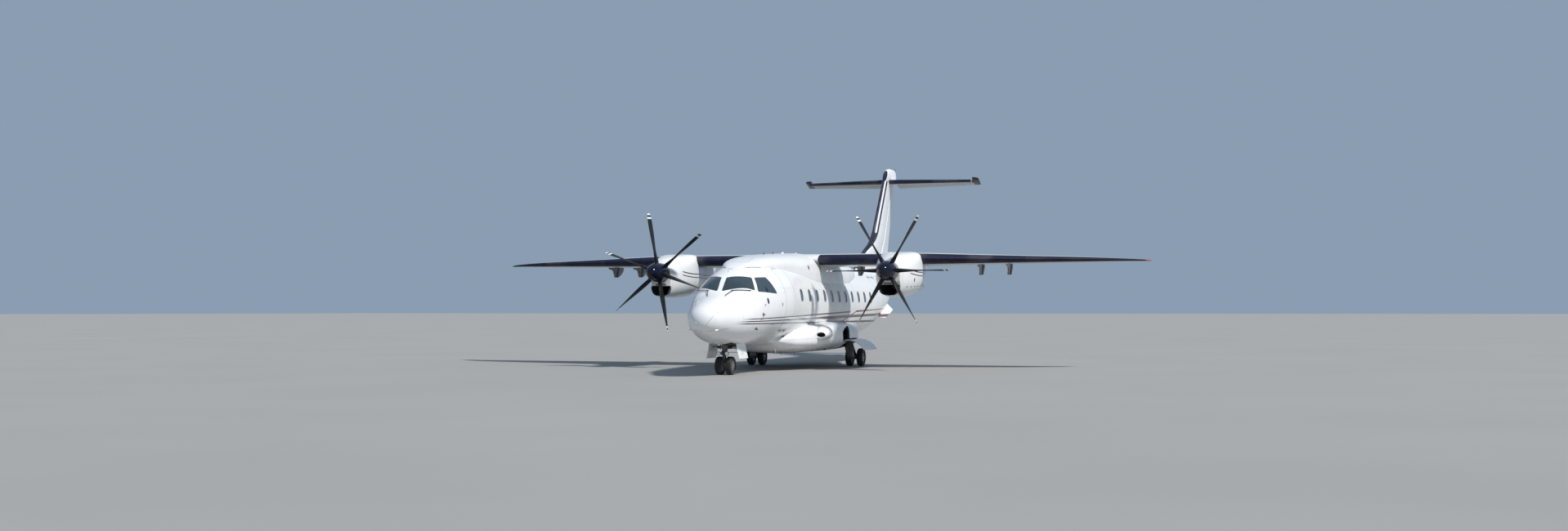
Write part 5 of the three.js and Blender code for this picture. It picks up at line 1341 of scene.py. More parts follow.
strake_paint = painted("strake_paint", WHITE, pitch=3.0, row=3.0, dirt=0.2, markings=strake_marks)
STRAKE_START, STRAKE_LONG = 14.85, 2.05
for side, hand in HANDS:
    along = np.linspace(0, 1, 30)[:, None]
    outward = np.linspace(0, 1, 12)[None, :]
    foot = STRAKE_START + STRAKE_LONG * along
    reach = np.interp(foot, [STRAKE_START, 15.15, 16.45, 16.9], [0.0, 0.24, 0.31, 0.0])
    height = 1.5 + (foot - STRAKE_START) * 0.24
    root = skin_x(foot, height) - 0.02
    thick = 0.016 * np.sqrt(np.clip(1 - (2 * along - 1) ** 6, 0, 1))
    thick = thick * np.sqrt(np.clip(1.02 - outward**6, 0, 1))
    faces_of = []
    for way in (1, -1):
        x = root + reach * outward * 0.93 + way * thick * 0.3
        z = height - reach * outward * 0.42 + way * thick
        faces_of.append(np.stack([side * x, np.broadcast_to(foot + NOSE_TIP, x.shape), z], -1))
    ring = np.concatenate([faces_of[0], faces_of[1][:, ::-1]], 1)
    piece = build(f"strake_skin_{hand}", *looped(ring), "airframe", "white_paint", [strake_paint])
    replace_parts(piece, f"strake_{hand}")

# Nacelles: composite cowlings on the wing, deep ahead of it and drawn out to a thin tail behind, flat on top
# where the wing box passes. Under the spinner is a wide intake with turned-up corners; the exhaust leaves low
# on the outer side.
NACELLE = np.array([
    [5870, 320, 3140, 2700, 2125, 2200], [6100, 430, 3255, 2720, 2108, 2400],
    [6500, 555, 3355, 2740, 2104, 3000], [6900, 630, 3405, 2760, 2115, 4000],
    [7250, 660, 3440, 2780, 2125, 5000], [7800, 510, 3450, 2800, 2170, 5000],
    [8400, 400, 3440, 2830, 2270, 4000], [9200, 300, 3390, 2900, 2520, 3000],
    [9900, 210, 3270, 2990, 2790, 2400], [10330, 96, 3162, 3060, 2985, 2200],
    [10420, 66, 3124, 3060, 3010, 2200], [10460, 12, 3070, 3060, 3052, 2200],
]) / 1000
HUB = (3.5, -5.0, 2.85)
NACELLE_FRONT, NACELLE_KEEL, NACELLE_MIDDLE = 5.87, 2.3, 2.8


def nacelle(station, angle, side, size=1.0):
    """A cowling ring: an oval squared above and rounder below, about the propeller's plane of symmetry."""
    half, top, middle, bottom, square = np.moveaxis(through(NACELLE, station), -1, 0)
    upper = np.sin(angle) > 0
    across, up = squared(angle, np.where(upper, square, NACELLE_KEEL))
    tall = np.where(upper, top - middle, middle - bottom)
    out = side * HUB[0] + size * half * across
    return np.stack([out, station + NOSE_TIP + 0 * angle, middle + size * tall * up], -1)


def nacelle_marks(tree, parts, colour):
    """Thin lines that sweep aft along the cowling's side and turn up at their front ends, and a brown strip
    of bare metal over the air intake."""
    paint = colour
    front = calc(tree, "MAXIMUM", calc(tree, "SUBTRACT", -3.6, parts["Y"]), 0.0)
    shown = times(tree, fade(tree, parts["Y"], -4.35, -4.25), fade(tree, parts["Y"], -1.2, -1.6))
    for height, ink in ((2.83, NAVY), (2.73, (0.05, 0.03, 0.03, 1))):
        line = calc(tree, "MULTIPLY_ADD", calc(tree, "POWER", front, 2.0), 0.12, height)
        mask = times(tree, fade(tree, apart(tree, parts["Z"], line), 0.018, 0.012), shown)
        paint = blend(tree, mask, paint, ink)
    across = fade(tree, apart(tree, calc(tree, "ABSOLUTE", parts["X"]), HUB[0]), 0.175, 0.165)
    up = fade(tree, apart(tree, parts["Z"], 2.49), 0.034, 0.026)
    strip = times(tree, across, up, fade(tree, parts["Y"], -4.7, -4.74))
    return blend(tree, strip, paint, (0.22, 0.17, 0.15, 1)), 0.0


MOUTH = [
    (-0.305, 2.39), (-0.25, 2.232), (-0.14, 2.165), (0, 2.148), (0.14, 2.165), (0.25, 2.232), (0.305, 2.39),
    (0.29, 2.455), (-0.29, 2.455),
]
MOUTH_MIDDLE = 2.31
EXHAUST = [(3.56, 7.6, 2.66), (3.6, 7.95, 2.57), (3.65, 8.25, 2.5), (3.675, 8.65, 2.465), (3.695, 9.11, 2.43)]
cowl_paint = painted(
    "cowling_paint", WHITE, pitch=1.15, row=0.47, shift=0.1, dirt=0.25, markings=nacelle_marks
)
exhaust_steel = weathered(
    "exhaust_steel", 7.0, 0.6, (0.30, 0.25, 0.20), (0.08, 0.06, 0.05), 0.35, 0.65, Metallic=0.9
)
cowl_paints = [cowl_paint, dark_lining]
cowl_stations = lines(
    (NACELLE_FRONT, 6.2, 0.03), (6.2, 8.0, 0.06), (8.0, 9.2, 0.03), (9.2, 10.2, 0.06), (10.2, 10.46, 0.02)
)
for side, hand in HANDS:

    def pipe_hole(points):
        """The hole for the exhaust pipe, low on the outer side: a slanting round cut."""
        x, y, z = points[..., 0] * side, points[..., 1], points[..., 2]
        cut = np.hypot(x - (3.645 + (y + 2.46) * 0.052), z - (2.512 - (y + 2.46) * 0.083)) - 0.122
        return np.where(x > HUB[0], cut, 1.0) + np.where((y < -2.6) | (y > -1.54), 1.0, 0.0)

    def face(size, angle):
        """The front of the cowling: its first ring filled in, and rounded off at the rim."""
        rim = np.sqrt(1 - np.clip((size - 0.93) / 0.07, 0, 1) ** 2)
        bulge = np.array((0, 1.0, 0)) * (0.02 * rim)[..., None]
        return nacelle(NACELLE_FRONT + 0 * size, angle, side, size) - bulge

    def on_nacelle(middles, normals):
        """True for faces on the cowling's own surface, and for all of its two ends."""
        x, y, z = middles.T
        half, top, mid, bottom, square = np.moveaxis(through(NACELLE, y - NOSE_TIP), -1, 0)
        tall = np.where(z > mid, top - mid, mid - bottom)
        power = np.where(z > mid, square, NACELLE_KEEL)
        level = np.abs(x - side * HUB[0]) / half
        level = (level**power + np.abs((z - mid) / tall) ** power) ** (1 / power)
        return (level > 0.86) & (np.abs(normals[:, 1]) < 0.85) | (y < -3.6) | (y > -2.9)

    points, faces = sheet(
        lambda u, v: nacelle(u, v, side), cowl_stations, lines(every_way(0.05)), [pipe_hole]
    )
    points[-1] = points[-1].mean(0)
    middle = (side * HUB[0], -2.6, NACELLE_MIDDLE)
    skin = build(
        f"nacelle_skin_{hand}", points, faces, "airframe", "white_composite", cowl_paints, middle, wall=0.006
    )
    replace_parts(skin, f"nacelle_{hand}")
    mouth = outline(MOUTH, 0.03, lambda p: (p[..., [0, 2]] - (side * HUB[0], 0), False))
    sizes = np.append(np.linspace(0.02, 0.9, 30), np.linspace(0.92, 1, 8))
    points, faces = sheet(face, sizes, np.linspace(-PI / 2, 1.5 * PI, 129), [mouth])
    middle = (side * HUB[0], -3.0, 2.7)
    build(
        f"nacelle_front_{hand}", points, faces, "airframe", "white_composite", cowl_paints, middle, wall=0.006
    )
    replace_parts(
        leftover(f"nacelle_ducts_{hand}", f"nacelle_{hand}", on_nacelle, dark_lining), f"nacelle_{hand}"
    )
    edge = np.array(MOUTH)[::-1]
    edge = eased(np.vstack([edge, edge[:1]]), np.linspace(0, len(edge), 73)[:-1])
    depth = np.linspace(0, 1, 12)[:, None]
    narrow = 1 - 0.45 * depth
    throat = np.stack([
        side * HUB[0] + edge[:, 0] * 1.03 * narrow, -4.788 + 0.9 * depth + 0 * edge[:, 0],
        MOUTH_MIDDLE + (edge[:, 1] - MOUTH_MIDDLE) * 1.03 * narrow + 0.12 * depth**2,
    ], -1)
    points, (walls, caps) = looped(throat)
    build(f"intake_duct_{hand}", points, [walls, caps[1:]], "airframe", "black_composite", [dark_lining])
    route = eased(EXHAUST, np.linspace(0, 4, 30)) * (side, 1, 1) + (0, NOSE_TIP, 0)
    outer, groups = tube(route, np.append(np.full(29, 0.118), 0.112), 32, False)
    build(
        f"exhaust_pipe_{hand}", outer, groups, "airframe", "white_composite", [cowl_paint, exhaust_steel],
        wall=0.012
    )
    build(f"exhaust_bore_{hand}", *tube(route[4:-3], 0.098, 32), "airframe", "engine", [dark_lining])

# Propellers: six composite blades on a steel hub behind a polished dark spinner, feathered as they are when
# the aircraft is parked. The blades are black with a white, dark and white band at the tip.
BLADE = np.array([
    [160, 124, 124, 90], [310, 124, 124, 90], [470, 190, 95, 104], [700, 265, 55, 99], [1050, 290, 34, 91],
    [1400, 262, 22, 84], [1680, 205, 14, 79], [1760, 160, 11, 77.5], [1788, 90, 8, 77], [1795, 30, 4, 77],
]) / (1000, 1000, 1000, 1)
HUB_ROWS = [(0.16, -0.14), (0.19, -0.12), (0.19, 0.12), (0.16, 0.14), (0.075, 0.15), (0.075, 0.5)]
TIP_BANDS = ((1.62, 1.68), (1.735, 1.9))
blade_paint, tree, shader, place = material("blade_paint", Coat_Weight=0.03, Specular_IOR_Level=0.2)
radius = flat_map(tree)["X"]
grime = use_group(tree, weather, Place=place, Scale=8.0, Streaks=0.2)["Grime"]
paint = blend(tree, grime, (0.012, 0.012, 0.014, 1), (0.03, 0.03, 0.032, 1))
for low, high in TIP_BANDS:
    band = times(tree, fade(tree, radius, low, low + 0.004), fade(tree, radius, high, high + 0.004, 1.0, 0.0))
    paint = blend(tree, band, paint, (0.78, 0.78, 0.76, 1))
tree.links.new(paint, shader.inputs["Base Color"])
tree.links.new(fade(tree, grime, 0.0, 1.0, 0.45, 0.6), shader.inputs["Roughness"])
spinner_paint = weathered(
    "spinner_paint", 6.0, 0.1, (0.004, 0.006, 0.02), (0.012, 0.014, 0.026), 0.12, 0.3,
    Coat_Weight=0.25, Coat_Roughness=0.03, Specular_IOR_Level=0.2,
)
SPINNER_RADIUS, SPINNER_TIP, SPINNER_SKIRT, SPINNER_BASE = 0.285, -0.64, -0.06, 0.205
SHANK_HOLE = 0.073
PARKED = {"left": 30, "right": -10}


def about_hub(points, side, degrees):
    """Turned about the propeller's shaft and moved to its hub."""
    c, n = math.cos(math.radians(degrees)), math.sin(math.radians(degrees))
    x, y, z = np.moveaxis(np.asarray(points), -1, 0)
    return np.stack([x * c + z * n + side * HUB[0], y + HUB[1], z * c - x * n + HUB[2]], -1)


for side, hand in HANDS:
    body, middle = f"propeller_{hand}", (side * HUB[0], HUB[1], HUB[2])
    t = np.concatenate([np.linspace(0, 6, 40), np.linspace(6, 9, 16)[1:]])
    radius, chord, thick, pitch = (column[:, None] for column in eased(BLADE, t).T)
    pitch, angle, turn = np.radians(pitch), full_turn(24), full_turn(36)
    along, across = chord / 2 * np.cos(angle), thick / 2 * np.sin(angle)
    one = np.stack([
        along * np.cos(pitch) - across * np.sin(pitch), along * np.sin(pitch) + across * np.cos(pitch),
        radius + 0 * along,
    ], -1)
    parts = [looped(about_hub(one, side, PARKED[hand] + 60 * k)) for k in range(6)]
    reach = np.tile(np.repeat(radius, len(angle)), 6)
    hub = np.stack([np.stack([r * np.cos(turn), y + 0 * turn, r * np.sin(turn)], -1) for r, y in HUB_ROWS])
    parts.append(looped(about_hub(hub, side, 0)))
    points, faces = together(parts)
    uv = np.stack([np.concatenate([reach, np.zeros(len(points) - len(reach))]), np.zeros(len(points))], 1)
    name = f"propeller_blades_skin_{hand}"
    blades = build(name, points, faces, body, "black_composite", [blade_paint], uv=uv, sharp=50)
    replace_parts(blades, f"propeller_blades_{hand}")

    def dome(u, v):
        """The spinner: an oval nose, then a short straight skirt, turned about the shaft."""
        nose = np.clip(u, 0, 1) * PI / 2
        y = np.where(
            u <= 1, SPINNER_TIP + (1 - np.cos(nose)) * (SPINNER_SKIRT - SPINNER_TIP),
            SPINNER_SKIRT + (u - 1) * (SPINNER_BASE - SPINNER_SKIRT),
        )
        r = SPINNER_RADIUS * np.sin(nose)
        return about_hub(np.stack([r * np.cos(v), y + 0 * v, r * np.sin(v)], -1), side, PARKED[hand])

    def shank_holes(points):
        """Round holes for the six blade roots."""
        local = points - middle
        turn = np.arctan2(local[..., 0], local[..., 2]) - math.radians(PARKED[hand])
        turn = turn - np.round(turn / (PI / 3)) * PI / 3
        return np.hypot(SPINNER_RADIUS * np.sin(turn), local[..., 1]) - SHANK_HOLE

    rows = np.append(np.linspace(0, 1, 34), np.linspace(1, 2, 16)[1:])
    points, faces = sheet(dome, rows, np.linspace(0, 2 * PI, 145), [shank_holes])
    spinner = build(
        f"spinner_skin_{hand}", points, faces, body, "navy_paint", [spinner_paint], middle, wall=0.006
    )
    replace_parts(spinner, f"spinner_{hand}")

# Wheels: split rims of forged aluminium, bolted together round tubeless ribbed tyres of black rubber. Two run
# on the nose leg and two on each main leg.
rubber = weathered(
    "tyre_rubber", 9.0, 0.0, (0.014, 0.014, 0.015), (0.05, 0.047, 0.043), 0.72, 0.92, Sheen_Weight=0.15
)
rim_paint = weathered(
    "rim_paint", 12.0, 0.3, (0.62, 0.63, 0.64), (0.16, 0.13, 0.11), 0.35, 0.65, Metallic=0.4
)
GROOVES = (-0.24, -0.08, 0.08, 0.24)


def spun(profile, centre):
    """A profile of (along the axle, radius) turned about an axle across the aircraft."""
    profile, turn = np.asarray(profile, float), full_turn(64)
    along, radius = profile[:, 0][:, None], profile[:, 1][:, None]
    ring = np.stack([along + 0 * turn, radius * np.cos(turn), radius * np.sin(turn)], -1) + np.asarray(centre)
    return looped(ring, False)


def tyre_profile(radius, width, rim):
    """Bead, bulging side wall, round shoulder and a flat tread with four grooves, round to the other bead."""
    half = eased([
        (-0.39, rim), (-0.47, rim + 0.02), (-0.5, radius * 0.8), (-0.455, radius * 0.915),
        (-0.36, radius * 0.972), (-0.2, radius * 0.995), (0, radius),
    ], np.linspace(0, 6, 25))
    half[:, 0] *= width
    edge = np.vstack([half, (half * (-1, 1))[::-1][1:]])
    for groove in GROOVES:
        spot = np.argmin(np.abs(edge[:, 0] - groove * width))
        x, r = edge[spot]
        cut = [[x - 0.005, r], [x - 0.003, r - 0.007], [x + 0.003, r - 0.007], [x + 0.005, r]]
        edge = np.vstack([edge[:spot], cut, edge[spot + 1:]])
    return np.vstack([edge, edge[:1]])


def rim_profile(width, rim):
    """A split rim from the axle out: a dished web, a well and a bead flange on each side."""
    w = width * 0.39
    outer = [
        (0.0, 0.0), (w * 0.98, 0.0), (w * 0.98, 0.03), (w * 0.8, 0.034), (w * 0.72, rim * 0.42),
        (w * 0.5, rim * 0.55), (w * 0.5, rim * 0.72), (w * 0.86, rim * 0.86), (w, rim * 0.9), (w, rim),
    ]
    return outer + [(-x, r) for x, r in outer[::-1]]


NOSE_WHEEL = (0.247, 0.172, 0.128, 0.147, 0.028)
MAIN_WHEEL = (0.275, 0.186, 0.132, 0.178, 0.036)
WHEELS = [
    ("nose_wheels", 0, -8.83, NOSE_WHEEL, "nose_wheel_hubs", ("nose_tyre_left", "nose_tyre_right")),
    (
        "main_wheels_left", 1.61, -1.41, MAIN_WHEEL, "main_wheel_hubs_left",
        ("main_tyre_outer_left", "main_tyre_inner_left"),
    ),
    (
        "main_wheels_right", -1.61, -1.41, MAIN_WHEEL, "main_wheel_hubs_right",
        ("main_tyre_inner_right", "main_tyre_outer_right"),
    ),
]
for body, x, y, (radius, width, rim, offset, axle), hubs, tyres in WHEELS:
    parts = [tube([(x - offset, y, radius), (x + offset, y, radius)], axle, 24)]
    for way, name in zip((1, -1), tyres):
        middle = (x + way * offset, y, radius)
        tyre = spun(tyre_profile(radius, width, rim), middle)
        piece = build(name + "_ribbed", *tyre, body, "tyre", [rubber], sharp=50)
        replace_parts(piece, name)
        parts.append(spun(rim_profile(width, rim - 0.001), middle))
    piece = build(hubs + "_forged", *together(parts), body, "wheel_metal", [rim_paint])
    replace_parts(piece, hubs)

# Fittings on the skin: air data probes on round plates, ice lights, wipers, lightning strips on the radome,
# blade antennas, drain masts, a scuff strip under the door, a seal round the foot of the wing fairing and
# latches on the cowlings. Each is screwed down or bonded through its own base.
def hull_angle(station, height, side):
    """The angle on the fuselage's ring where it has that height, on one side."""
    _, middle, tall = hull_at(station, height)
    angle = np.arcsin(np.clip((height - middle) / tall, -1, 1))
    return angle if side > 0 else PI - angle


def spot(place, u, v, centre):
    """A place on a surface of two parameters, and the direction square to it and away from a centre."""
    here = place(u, v)
    normal = np.cross(place(u + 1e-4, v) - here, place(u, v + 1e-4) - here)
    normal /= np.linalg.norm(normal)
    return here, normal * np.sign(normal @ (here - np.asarray(centre)))


def side_spot(station, height, side):
    """A place on the fuselage at a station and a height, and the direction square to it."""
    middle = (0, station + NOSE_TIP, CABIN_MIDDLE)
    return spot(hull, np.float64(station), hull_angle(station, height, side), middle)


def button(centre, normal, wide, tall, thick, sides=20):
    """A low domed oval, wide along the aircraft: rings drawn in as they rise to the top."""
    up = np.cross(normal, (0, 1, 0))
    up /= np.linalg.norm(up)
    along = np.cross(up, normal)
    turn = full_turn(sides)[:, None]

    def ring(size, rise):
        oval = wide * np.cos(turn) * along + tall * np.sin(turn) * up
        return centre + size * oval + rise * thick * normal

    return looped(np.stack([ring(1, -0.8), ring(1, 0.5), ring(0.93, 0.85), ring(0.7, 1), ring(0.3, 1.08)]))


def vane(base, up, height, chord, thick, lean=0.35, taper=0.55):
    """A blade standing on a base: lens shaped slices along it, each smaller and further aft."""
    base, up = np.asarray(base, float), np.asarray(up, float)
    across = np.cross(up, (0, 1, 0))
    across /= np.linalg.norm(across)
    turn, aft = full_turn(16)[:, None], np.array((0, 1, 0))
    slices = []
    for share in (0.0, 0.5, 0.9, 1.0):
        size = (1 - (1 - taper) * share) * (0.7 if share == 1 else 1)
        slices.append(
            base + height * share * up + size * chord / 2 * np.cos(turn) * aft
            + size * thick / 2 * np.sin(turn) * across + lean * height * share * aft
        )
    return looped(np.stack(slices))


def on_nose(x, z):
    """The place on the nose at a distance across and a height: where the rings grow out to it."""
    stations = np.linspace(0.002, 1.4, 400)
    half, middle, tall = hull_at(stations, z)
    level = np.hypot(x / half, (z - middle) / tall)
    return np.array([x, np.interp(1.0, level[::-1], stations[::-1]) + NOSE_TIP, z])


def under_screen(x, z, out):
    """A place at a height and distance across on the cockpit's brow, raised square to the skin."""
    stations = np.linspace(1.0, 2.6, 600)
    station = np.interp(abs(x), skin_x(stations, z), stations)
    at, normal = side_spot(station, z, 1 if x > 0 else -1)
    return at + out * normal


def on_roof(y):
    """A place on the middle of the wing fairing's back, just under its skin."""
    return (0, y, through(HUMP, np.float64(y - NOSE_TIP))[0] - 0.006)


def cowl_spot(station, turn, side):
    """A place on a cowling at an angle up from its outer side's level, and the direction square to it."""
    angle = np.float64(turn) if side > 0 else PI - turn
    middle = (side * HUB[0], station + NOSE_TIP, NACELLE_MIDDLE)
    return spot(lambda u, v: nacelle(u, v, side), np.float64(station), angle, middle)


black_trim = weathered(
    "black_trim", 14.0, 0.2, (0.012, 0.012, 0.013), (0.05, 0.048, 0.045), 0.35, 0.6, Coat_Weight=0.1
)
bright_metal = weathered(
    "bright_metal", 14.0, 0.4, (0.52, 0.51, 0.50), (0.22, 0.19, 0.17), 0.25, 0.5, Metallic=0.9
)
fitting_white = painted("fitting_paint", WHITE, pitch=9.0, row=9.0, dirt=0.3, streaks=0.3)
UP, DOWN = (0, 0, 1), (0, 0, -1)
WIPER_ARM = [(0.24, 2.09, 0.0), (0.25, 2.10, 0.03), (0.30, 2.17, 0.04), (0.36, 2.232, 0.035)]
LIGHTNING_STRIPS = (((0.112, 1.328), (0.368, 1.698)), ((0.05, 1.165), (0.536, 1.261)))
MASTS = ((0.35, -5.1, 0.515, 0.09), (0.42, -4.0, 0.48, 0.05), (-0.3, -4.6, 0.49, 0.07))

dark, metal, white = [], [], []
for side in (1, -1):
    dark.append(button(*side_spot(2.333, 1.975, side), 0.05, 0.085, 0.006))
    for station, height in ((1.98, 1.61), (1.766, 1.243)):
        at, normal = side_spot(station, height, side)
        metal.append(button(at, normal, 0.05, 0.05, 0.005))
        path = [
            at, at + 0.05 * normal, at + 0.07 * normal - (0, 0.025, 0), at + 0.072 * normal - (0, 0.17, 0)
        ]
        dark.append(tube(path, [0.012, 0.011, 0.01, 0.006]))
    dark.append(vane(*side_spot(2.112, 1.871, side), 0.05, 0.045, 0.012))
    dark.append(button(*side_spot(3.25, 1.887, side), 0.02, 0.05, 0.004))
    for station in (6.06, 8.42, 11.57):
        metal.append(button(*side_spot(station, 1.73, side), 0.018, 0.018, 0.003, 10))
    dark.append(tube([under_screen(side * x, z, out) for x, z, out in WIPER_ARM], 0.009, 8))
    blade = [(0.31 + 0.43 * k, 2.236 + 0.012 * math.sin(PI * k)) for k in np.linspace(0, 1, 9)]
    dark.append(tube([under_screen(side * x, z, 0.022) for x, z in blade], 0.010, 8))
    for (x0, z0), (x1, z1) in LIGHTNING_STRIPS:
        line = [on_nose(side * (x0 + (x1 - x0) * k), z0 + (z1 - z0) * k) for k in np.linspace(0, 1, 16)]
        metal.append(tube(line, 0.004, 6))
dark += [vane(on_roof(y), UP, 0.055, 0.1, 0.025) for y in (-5.59, -4.75)]
white += [vane(on_roof(y), UP, 0.045, 0.26, 0.035, 0.6) for y in (-3.8, -2.48)]
white.append(vane((0, 2.9, 3.143), UP, 0.14, 0.24, 0.025, 0.5))
dark += [vane((x, y, z), DOWN, tall, 0.05, 0.014, 0.4) for x, y, z, tall in MASTS]
white.append(vane((0, 2.6, 0.765), DOWN, 0.25, 0.26, 0.03, 0.5))
mast = [(0.47, -6.14, 0.80), (0.485, -6.11, 0.72), (0.50, -6.06, 0.60), (0.505, -6.04, 0.53)]
white.append(tube(mast, [0.03, 0.022, 0.018, 0.014], 10))
step = [side_spot(3.6 + 0.62 * k, 1.15 - 0.03 * math.sin(PI * k), 1)[0] for k in np.linspace(0, 1, 12)]
metal.append(tube(step, 0.012, 8))
build("probes_and_wipers", *together(dark), "airframe", "trim", [black_trim])
build("plates_and_strips", *together(metal), "airframe", "trim", [bright_metal])
build("antennas_and_masts", *together(white), "airframe", "white_composite", [fitting_white])
foot = lines((2.6, 12.5, 0.1), (12.5, 12.98, 0.04))
low = through(HUMP, foot)[:, 1]
for side, hand in HANDS:
    seal = np.stack([side * (skin_x(foot, low) + 0.006), foot + NOSE_TIP, low - 0.002], -1)
    build(f"fairing_seal_{hand}", *tube(seal, 0.009, 8), "airframe", "trim", [black_trim])
    latches = [button(*cowl_spot(6.25 + 0.25 * k, -0.5, side), 0.05, 0.012, 0.003, 12) for k in range(6)]
    for station, turn in ((6.6, -0.18), (7.3, 0.75)):
        latches.append(button(*cowl_spot(station, turn, side), 0.03, 0.06, 0.004, 16))
    build(f"cowling_latches_{hand}", *together(latches), "airframe", "trim", [black_trim])

# Lamps: a red glass on the left wing tip, a green one on the right, a clear one on the tail post and a red
# beacon on the back, moulded acrylic screwed down over their bulbs. Thin carbon wicks trail from the ailerons
# and elevators.
def lamp_glass(name, colour, glow):
    """Coloured glass that glows a little and is dimmed by dust."""
    made, tree, shader, place = material(name, Coat_Weight=0.8, Coat_Roughness=0.02, Emission_Strength=glow)
    grime = use_group(tree, weather, Place=place, Scale=20.0, Streaks=0.1)["Grime"]
    for socket, share in (("Base Color", 0.6), ("Emission Color", 0.4)):
        dim = (*(share * c for c in colour), 1)
        tree.links.new(blend(tree, grime, (*colour, 1), dim), shader.inputs[socket])
    tree.links.new(fade(tree, grime, 0.0, 1.0, 0.08, 0.2), shader.inputs["Roughness"])
    return made


def drop(centre, radii):
    """A smooth egg: rings of a turned circle stretched by three radii."""
    down, turn = np.linspace(-1, 1, 15)[:, None] * PI / 2, full_turn(24)
    unit = np.stack([np.cos(down) * np.cos(turn), np.sin(down) + 0 * turn, np.cos(down) * np.sin(turn)], -1)
    return looped(np.asarray(centre) + unit * np.asarray(radii))


red_glass = lamp_glass("red_glass", (0.60, 0.02, 0.015), 0.4)
green_glass = lamp_glass("green_glass", (0.02, 0.45, 0.12), 0.5)
clear_glass = lamp_glass("clear_glass", (0.75, 0.76, 0.78), 0.1)
for name, centre, radii, glass in (
    ("tip_lamp_left", (10.405, -1.0, 3.2), (0.07, 0.06, 0.026), red_glass),
    ("tip_lamp_right", (-10.405, -1.0, 3.2), (0.07, 0.06, 0.026), green_glass),
    ("beacon_above", (0, 0.3, 3.395), (0.04, 0.06, 0.05), red_glass),
    ("tail_lamp", (0, 10.615, 7.0), (0.018, 0.024, 0.03), clear_glass),
):
    build(name, *drop(centre, radii), "airframe", "glass", [glass])


def wicks(surface, share, outward, side, name, body):
    """Static wicks: thin rods trailing from a surface at a share of its chord, at places outward."""
    roots = surface.at(surface.leading + share * surface.chord, 0.5).reshape(-1, 2)
    roots = np.array([(side * x, aft + NOSE_TIP, up) for x, (aft, up) in zip(outward, roots)])
    roots = droop(roots) if body == "elevators" else roots
    rods = [tube([root, np.add(root, (0, 0.11, -0.01))], 0.0035, 6) for root in roots]
    build(name, *together(rods), body, "trim", [black_trim])


for side, hand in HANDS:
    outward = (8.3, 8.8, 9.3)
    wicks(Slices(WING, np.array(outward)), 0.99, outward, side, f"aileron_wicks_{hand}", f"aileron_{hand}")
    outward = (2.3, 2.7)
    wicks(Slices(TAIL, np.array(outward), 0, 0), 0.985, outward, side, f"elevator_wicks_{hand}", "elevators")

# Legs: forged and machined steel struts, dark grey, darker still in patches of grime. Hydraulic lines, door
# rods and a pair of taxi lamps are clipped to the nose leg; brake lines and door rods to the main legs.
def dress(names, paint):
    """The finer material on pieces that keep their own shape."""
    for name in names:
        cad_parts[name].data.materials.clear()
        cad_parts[name].data.materials.append(paint)


def standing(y, z0, z1, low, high, thick):
    """An upright plate across the aircraft between two heights, with its half width at each."""
    return plate([(-low, y, z0), (low, y, z0), (high, y, z1), (-high, y, z1)], (0, 0, 0), (0, thick, 0))


dress(("nose_leg_upper", "nose_leg_steered", "main_leg_left", "main_leg_right"), steel)
NOSE_LEG, LAMP_OUT, LAMP_UP = -8.885, 0.115, 0.575
upper = [
    tube([(-0.20, NOSE_LEG + 0.02, 0.735), (0.20, NOSE_LEG + 0.02, 0.735)], 0.034, 16),
    tube([(-0.10, NOSE_LEG - 0.06, 0.86), (-0.10, NOSE_LEG - 0.07, 0.68)], 0.014, 10),
    tube([(0.10, NOSE_LEG - 0.06, 0.86), (0.10, NOSE_LEG - 0.07, 0.68)], 0.014, 10),
    tube(
        [(0.0, NOSE_LEG + 0.05, 0.90), (0.05, NOSE_LEG + 0.11, 0.80), (0.06, NOSE_LEG + 0.1, 0.69)], 0.009, 8
    ),
    standing(NOSE_LEG - 0.085, 0.70, 0.80, 0.11, 0.09, 0.02),
]
for side in (1, -1):
    for aft in (0.13, 0.42):
        rod = [(side * 0.07, NOSE_LEG + aft - 0.08, 0.79), (side * 0.385, NOSE_LEG + aft, 0.735)]
        upper.append(tube(rod, 0.011, 8))
build("nose_leg_rods", *together(upper), "airframe", "gear_metal", [steel])
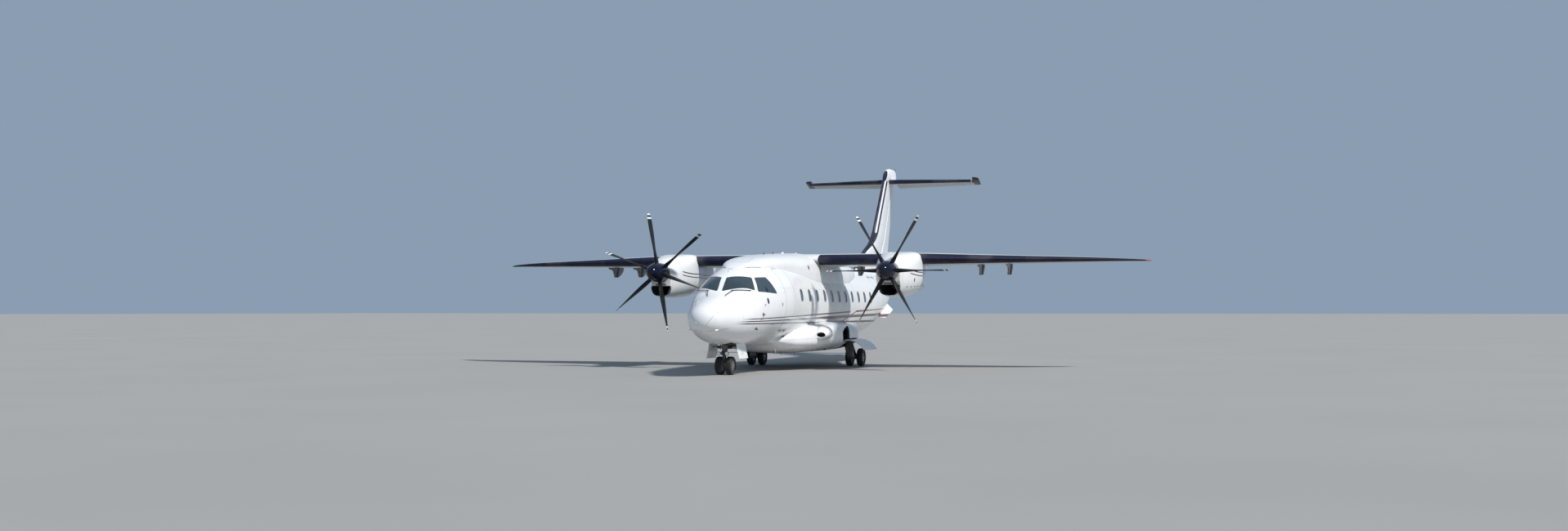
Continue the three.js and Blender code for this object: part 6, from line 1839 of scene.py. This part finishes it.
lower = [
    standing(NOSE_LEG - 0.10, 0.555, 0.60, 0.13, 0.13, 0.035),
    tube(
        [(0.06, NOSE_LEG + 0.05, 0.60), (0.065, NOSE_LEG + 0.075, 0.45), (0.03, NOSE_LEG + 0.06, 0.30)],
        0.008, 8
    ),
]
lamps = []
for side in (1, -1):
    bowl = [(side * LAMP_OUT, NOSE_LEG - ahead, LAMP_UP) for ahead in (0.09, 0.125, 0.165)]
    lower.append(tube(bowl, [0.03, 0.052, 0.056], 24))
    lamps.append(drop((side * LAMP_OUT, NOSE_LEG - 0.163, LAMP_UP), (0.05, 0.016, 0.05)))
build("nose_leg_lines", *together(lower), "nose_steering", "gear_metal", [steel])
build("taxi_lamps", *together(lamps), "nose_steering", "glass", [clear_glass])
BRAKE_LINE = [
    (-0.02, -0.52, 0.92), (-0.05, -0.515, 0.70), (0, -0.505, 0.45), (0, -0.38, 0.37), (0, -0.1, 0.345)
]
RETURN_LINE = [(-0.1, -0.52, 0.92), (-0.11, -0.51, 0.72), (-0.05, -0.50, 0.48), (-0.03, -0.36, 0.39)]
DOOR_ROD = [(-0.02, -0.5, 0.70), (0.23, -0.42, 0.79)]
STAY = [(-0.06, -0.44, 0.86), (-0.06, -0.02, 0.40)]
MAIN_RODS = ((BRAKE_LINE, 0.009, 8), (RETURN_LINE, 0.007, 8), (DOOR_ROD, 0.014, 10), (STAY, 0.03, 14))
for side, hand in HANDS:
    rods = [
        tube([(side * 1.61 + side * x, -1.41 + y, z) for x, y, z in path], radius, sides)
        for path, radius, sides in MAIN_RODS
    ]
    build(f"main_leg_lines_{hand}", *together(rods), "airframe", "gear_metal", [steel])

# Engines and flight deck: turbine cases of steel and titanium on their mounts inside the cowlings, and the
# cockpit's seats and panel behind the panes. Both are matt and dark, in the shade of their own shells.
dress(("engine_left", "engine_right", "flight_deck"), dark_lining)

# Gear doors: light curved composite panels. The nose doors hang open beside the leg; each main door is held
# out level from the lower edge of its bay on two arms.
dress((f"{leg}_gear_door_{hand}" for leg in ("nose", "main") for _, hand in HANDS), underside)
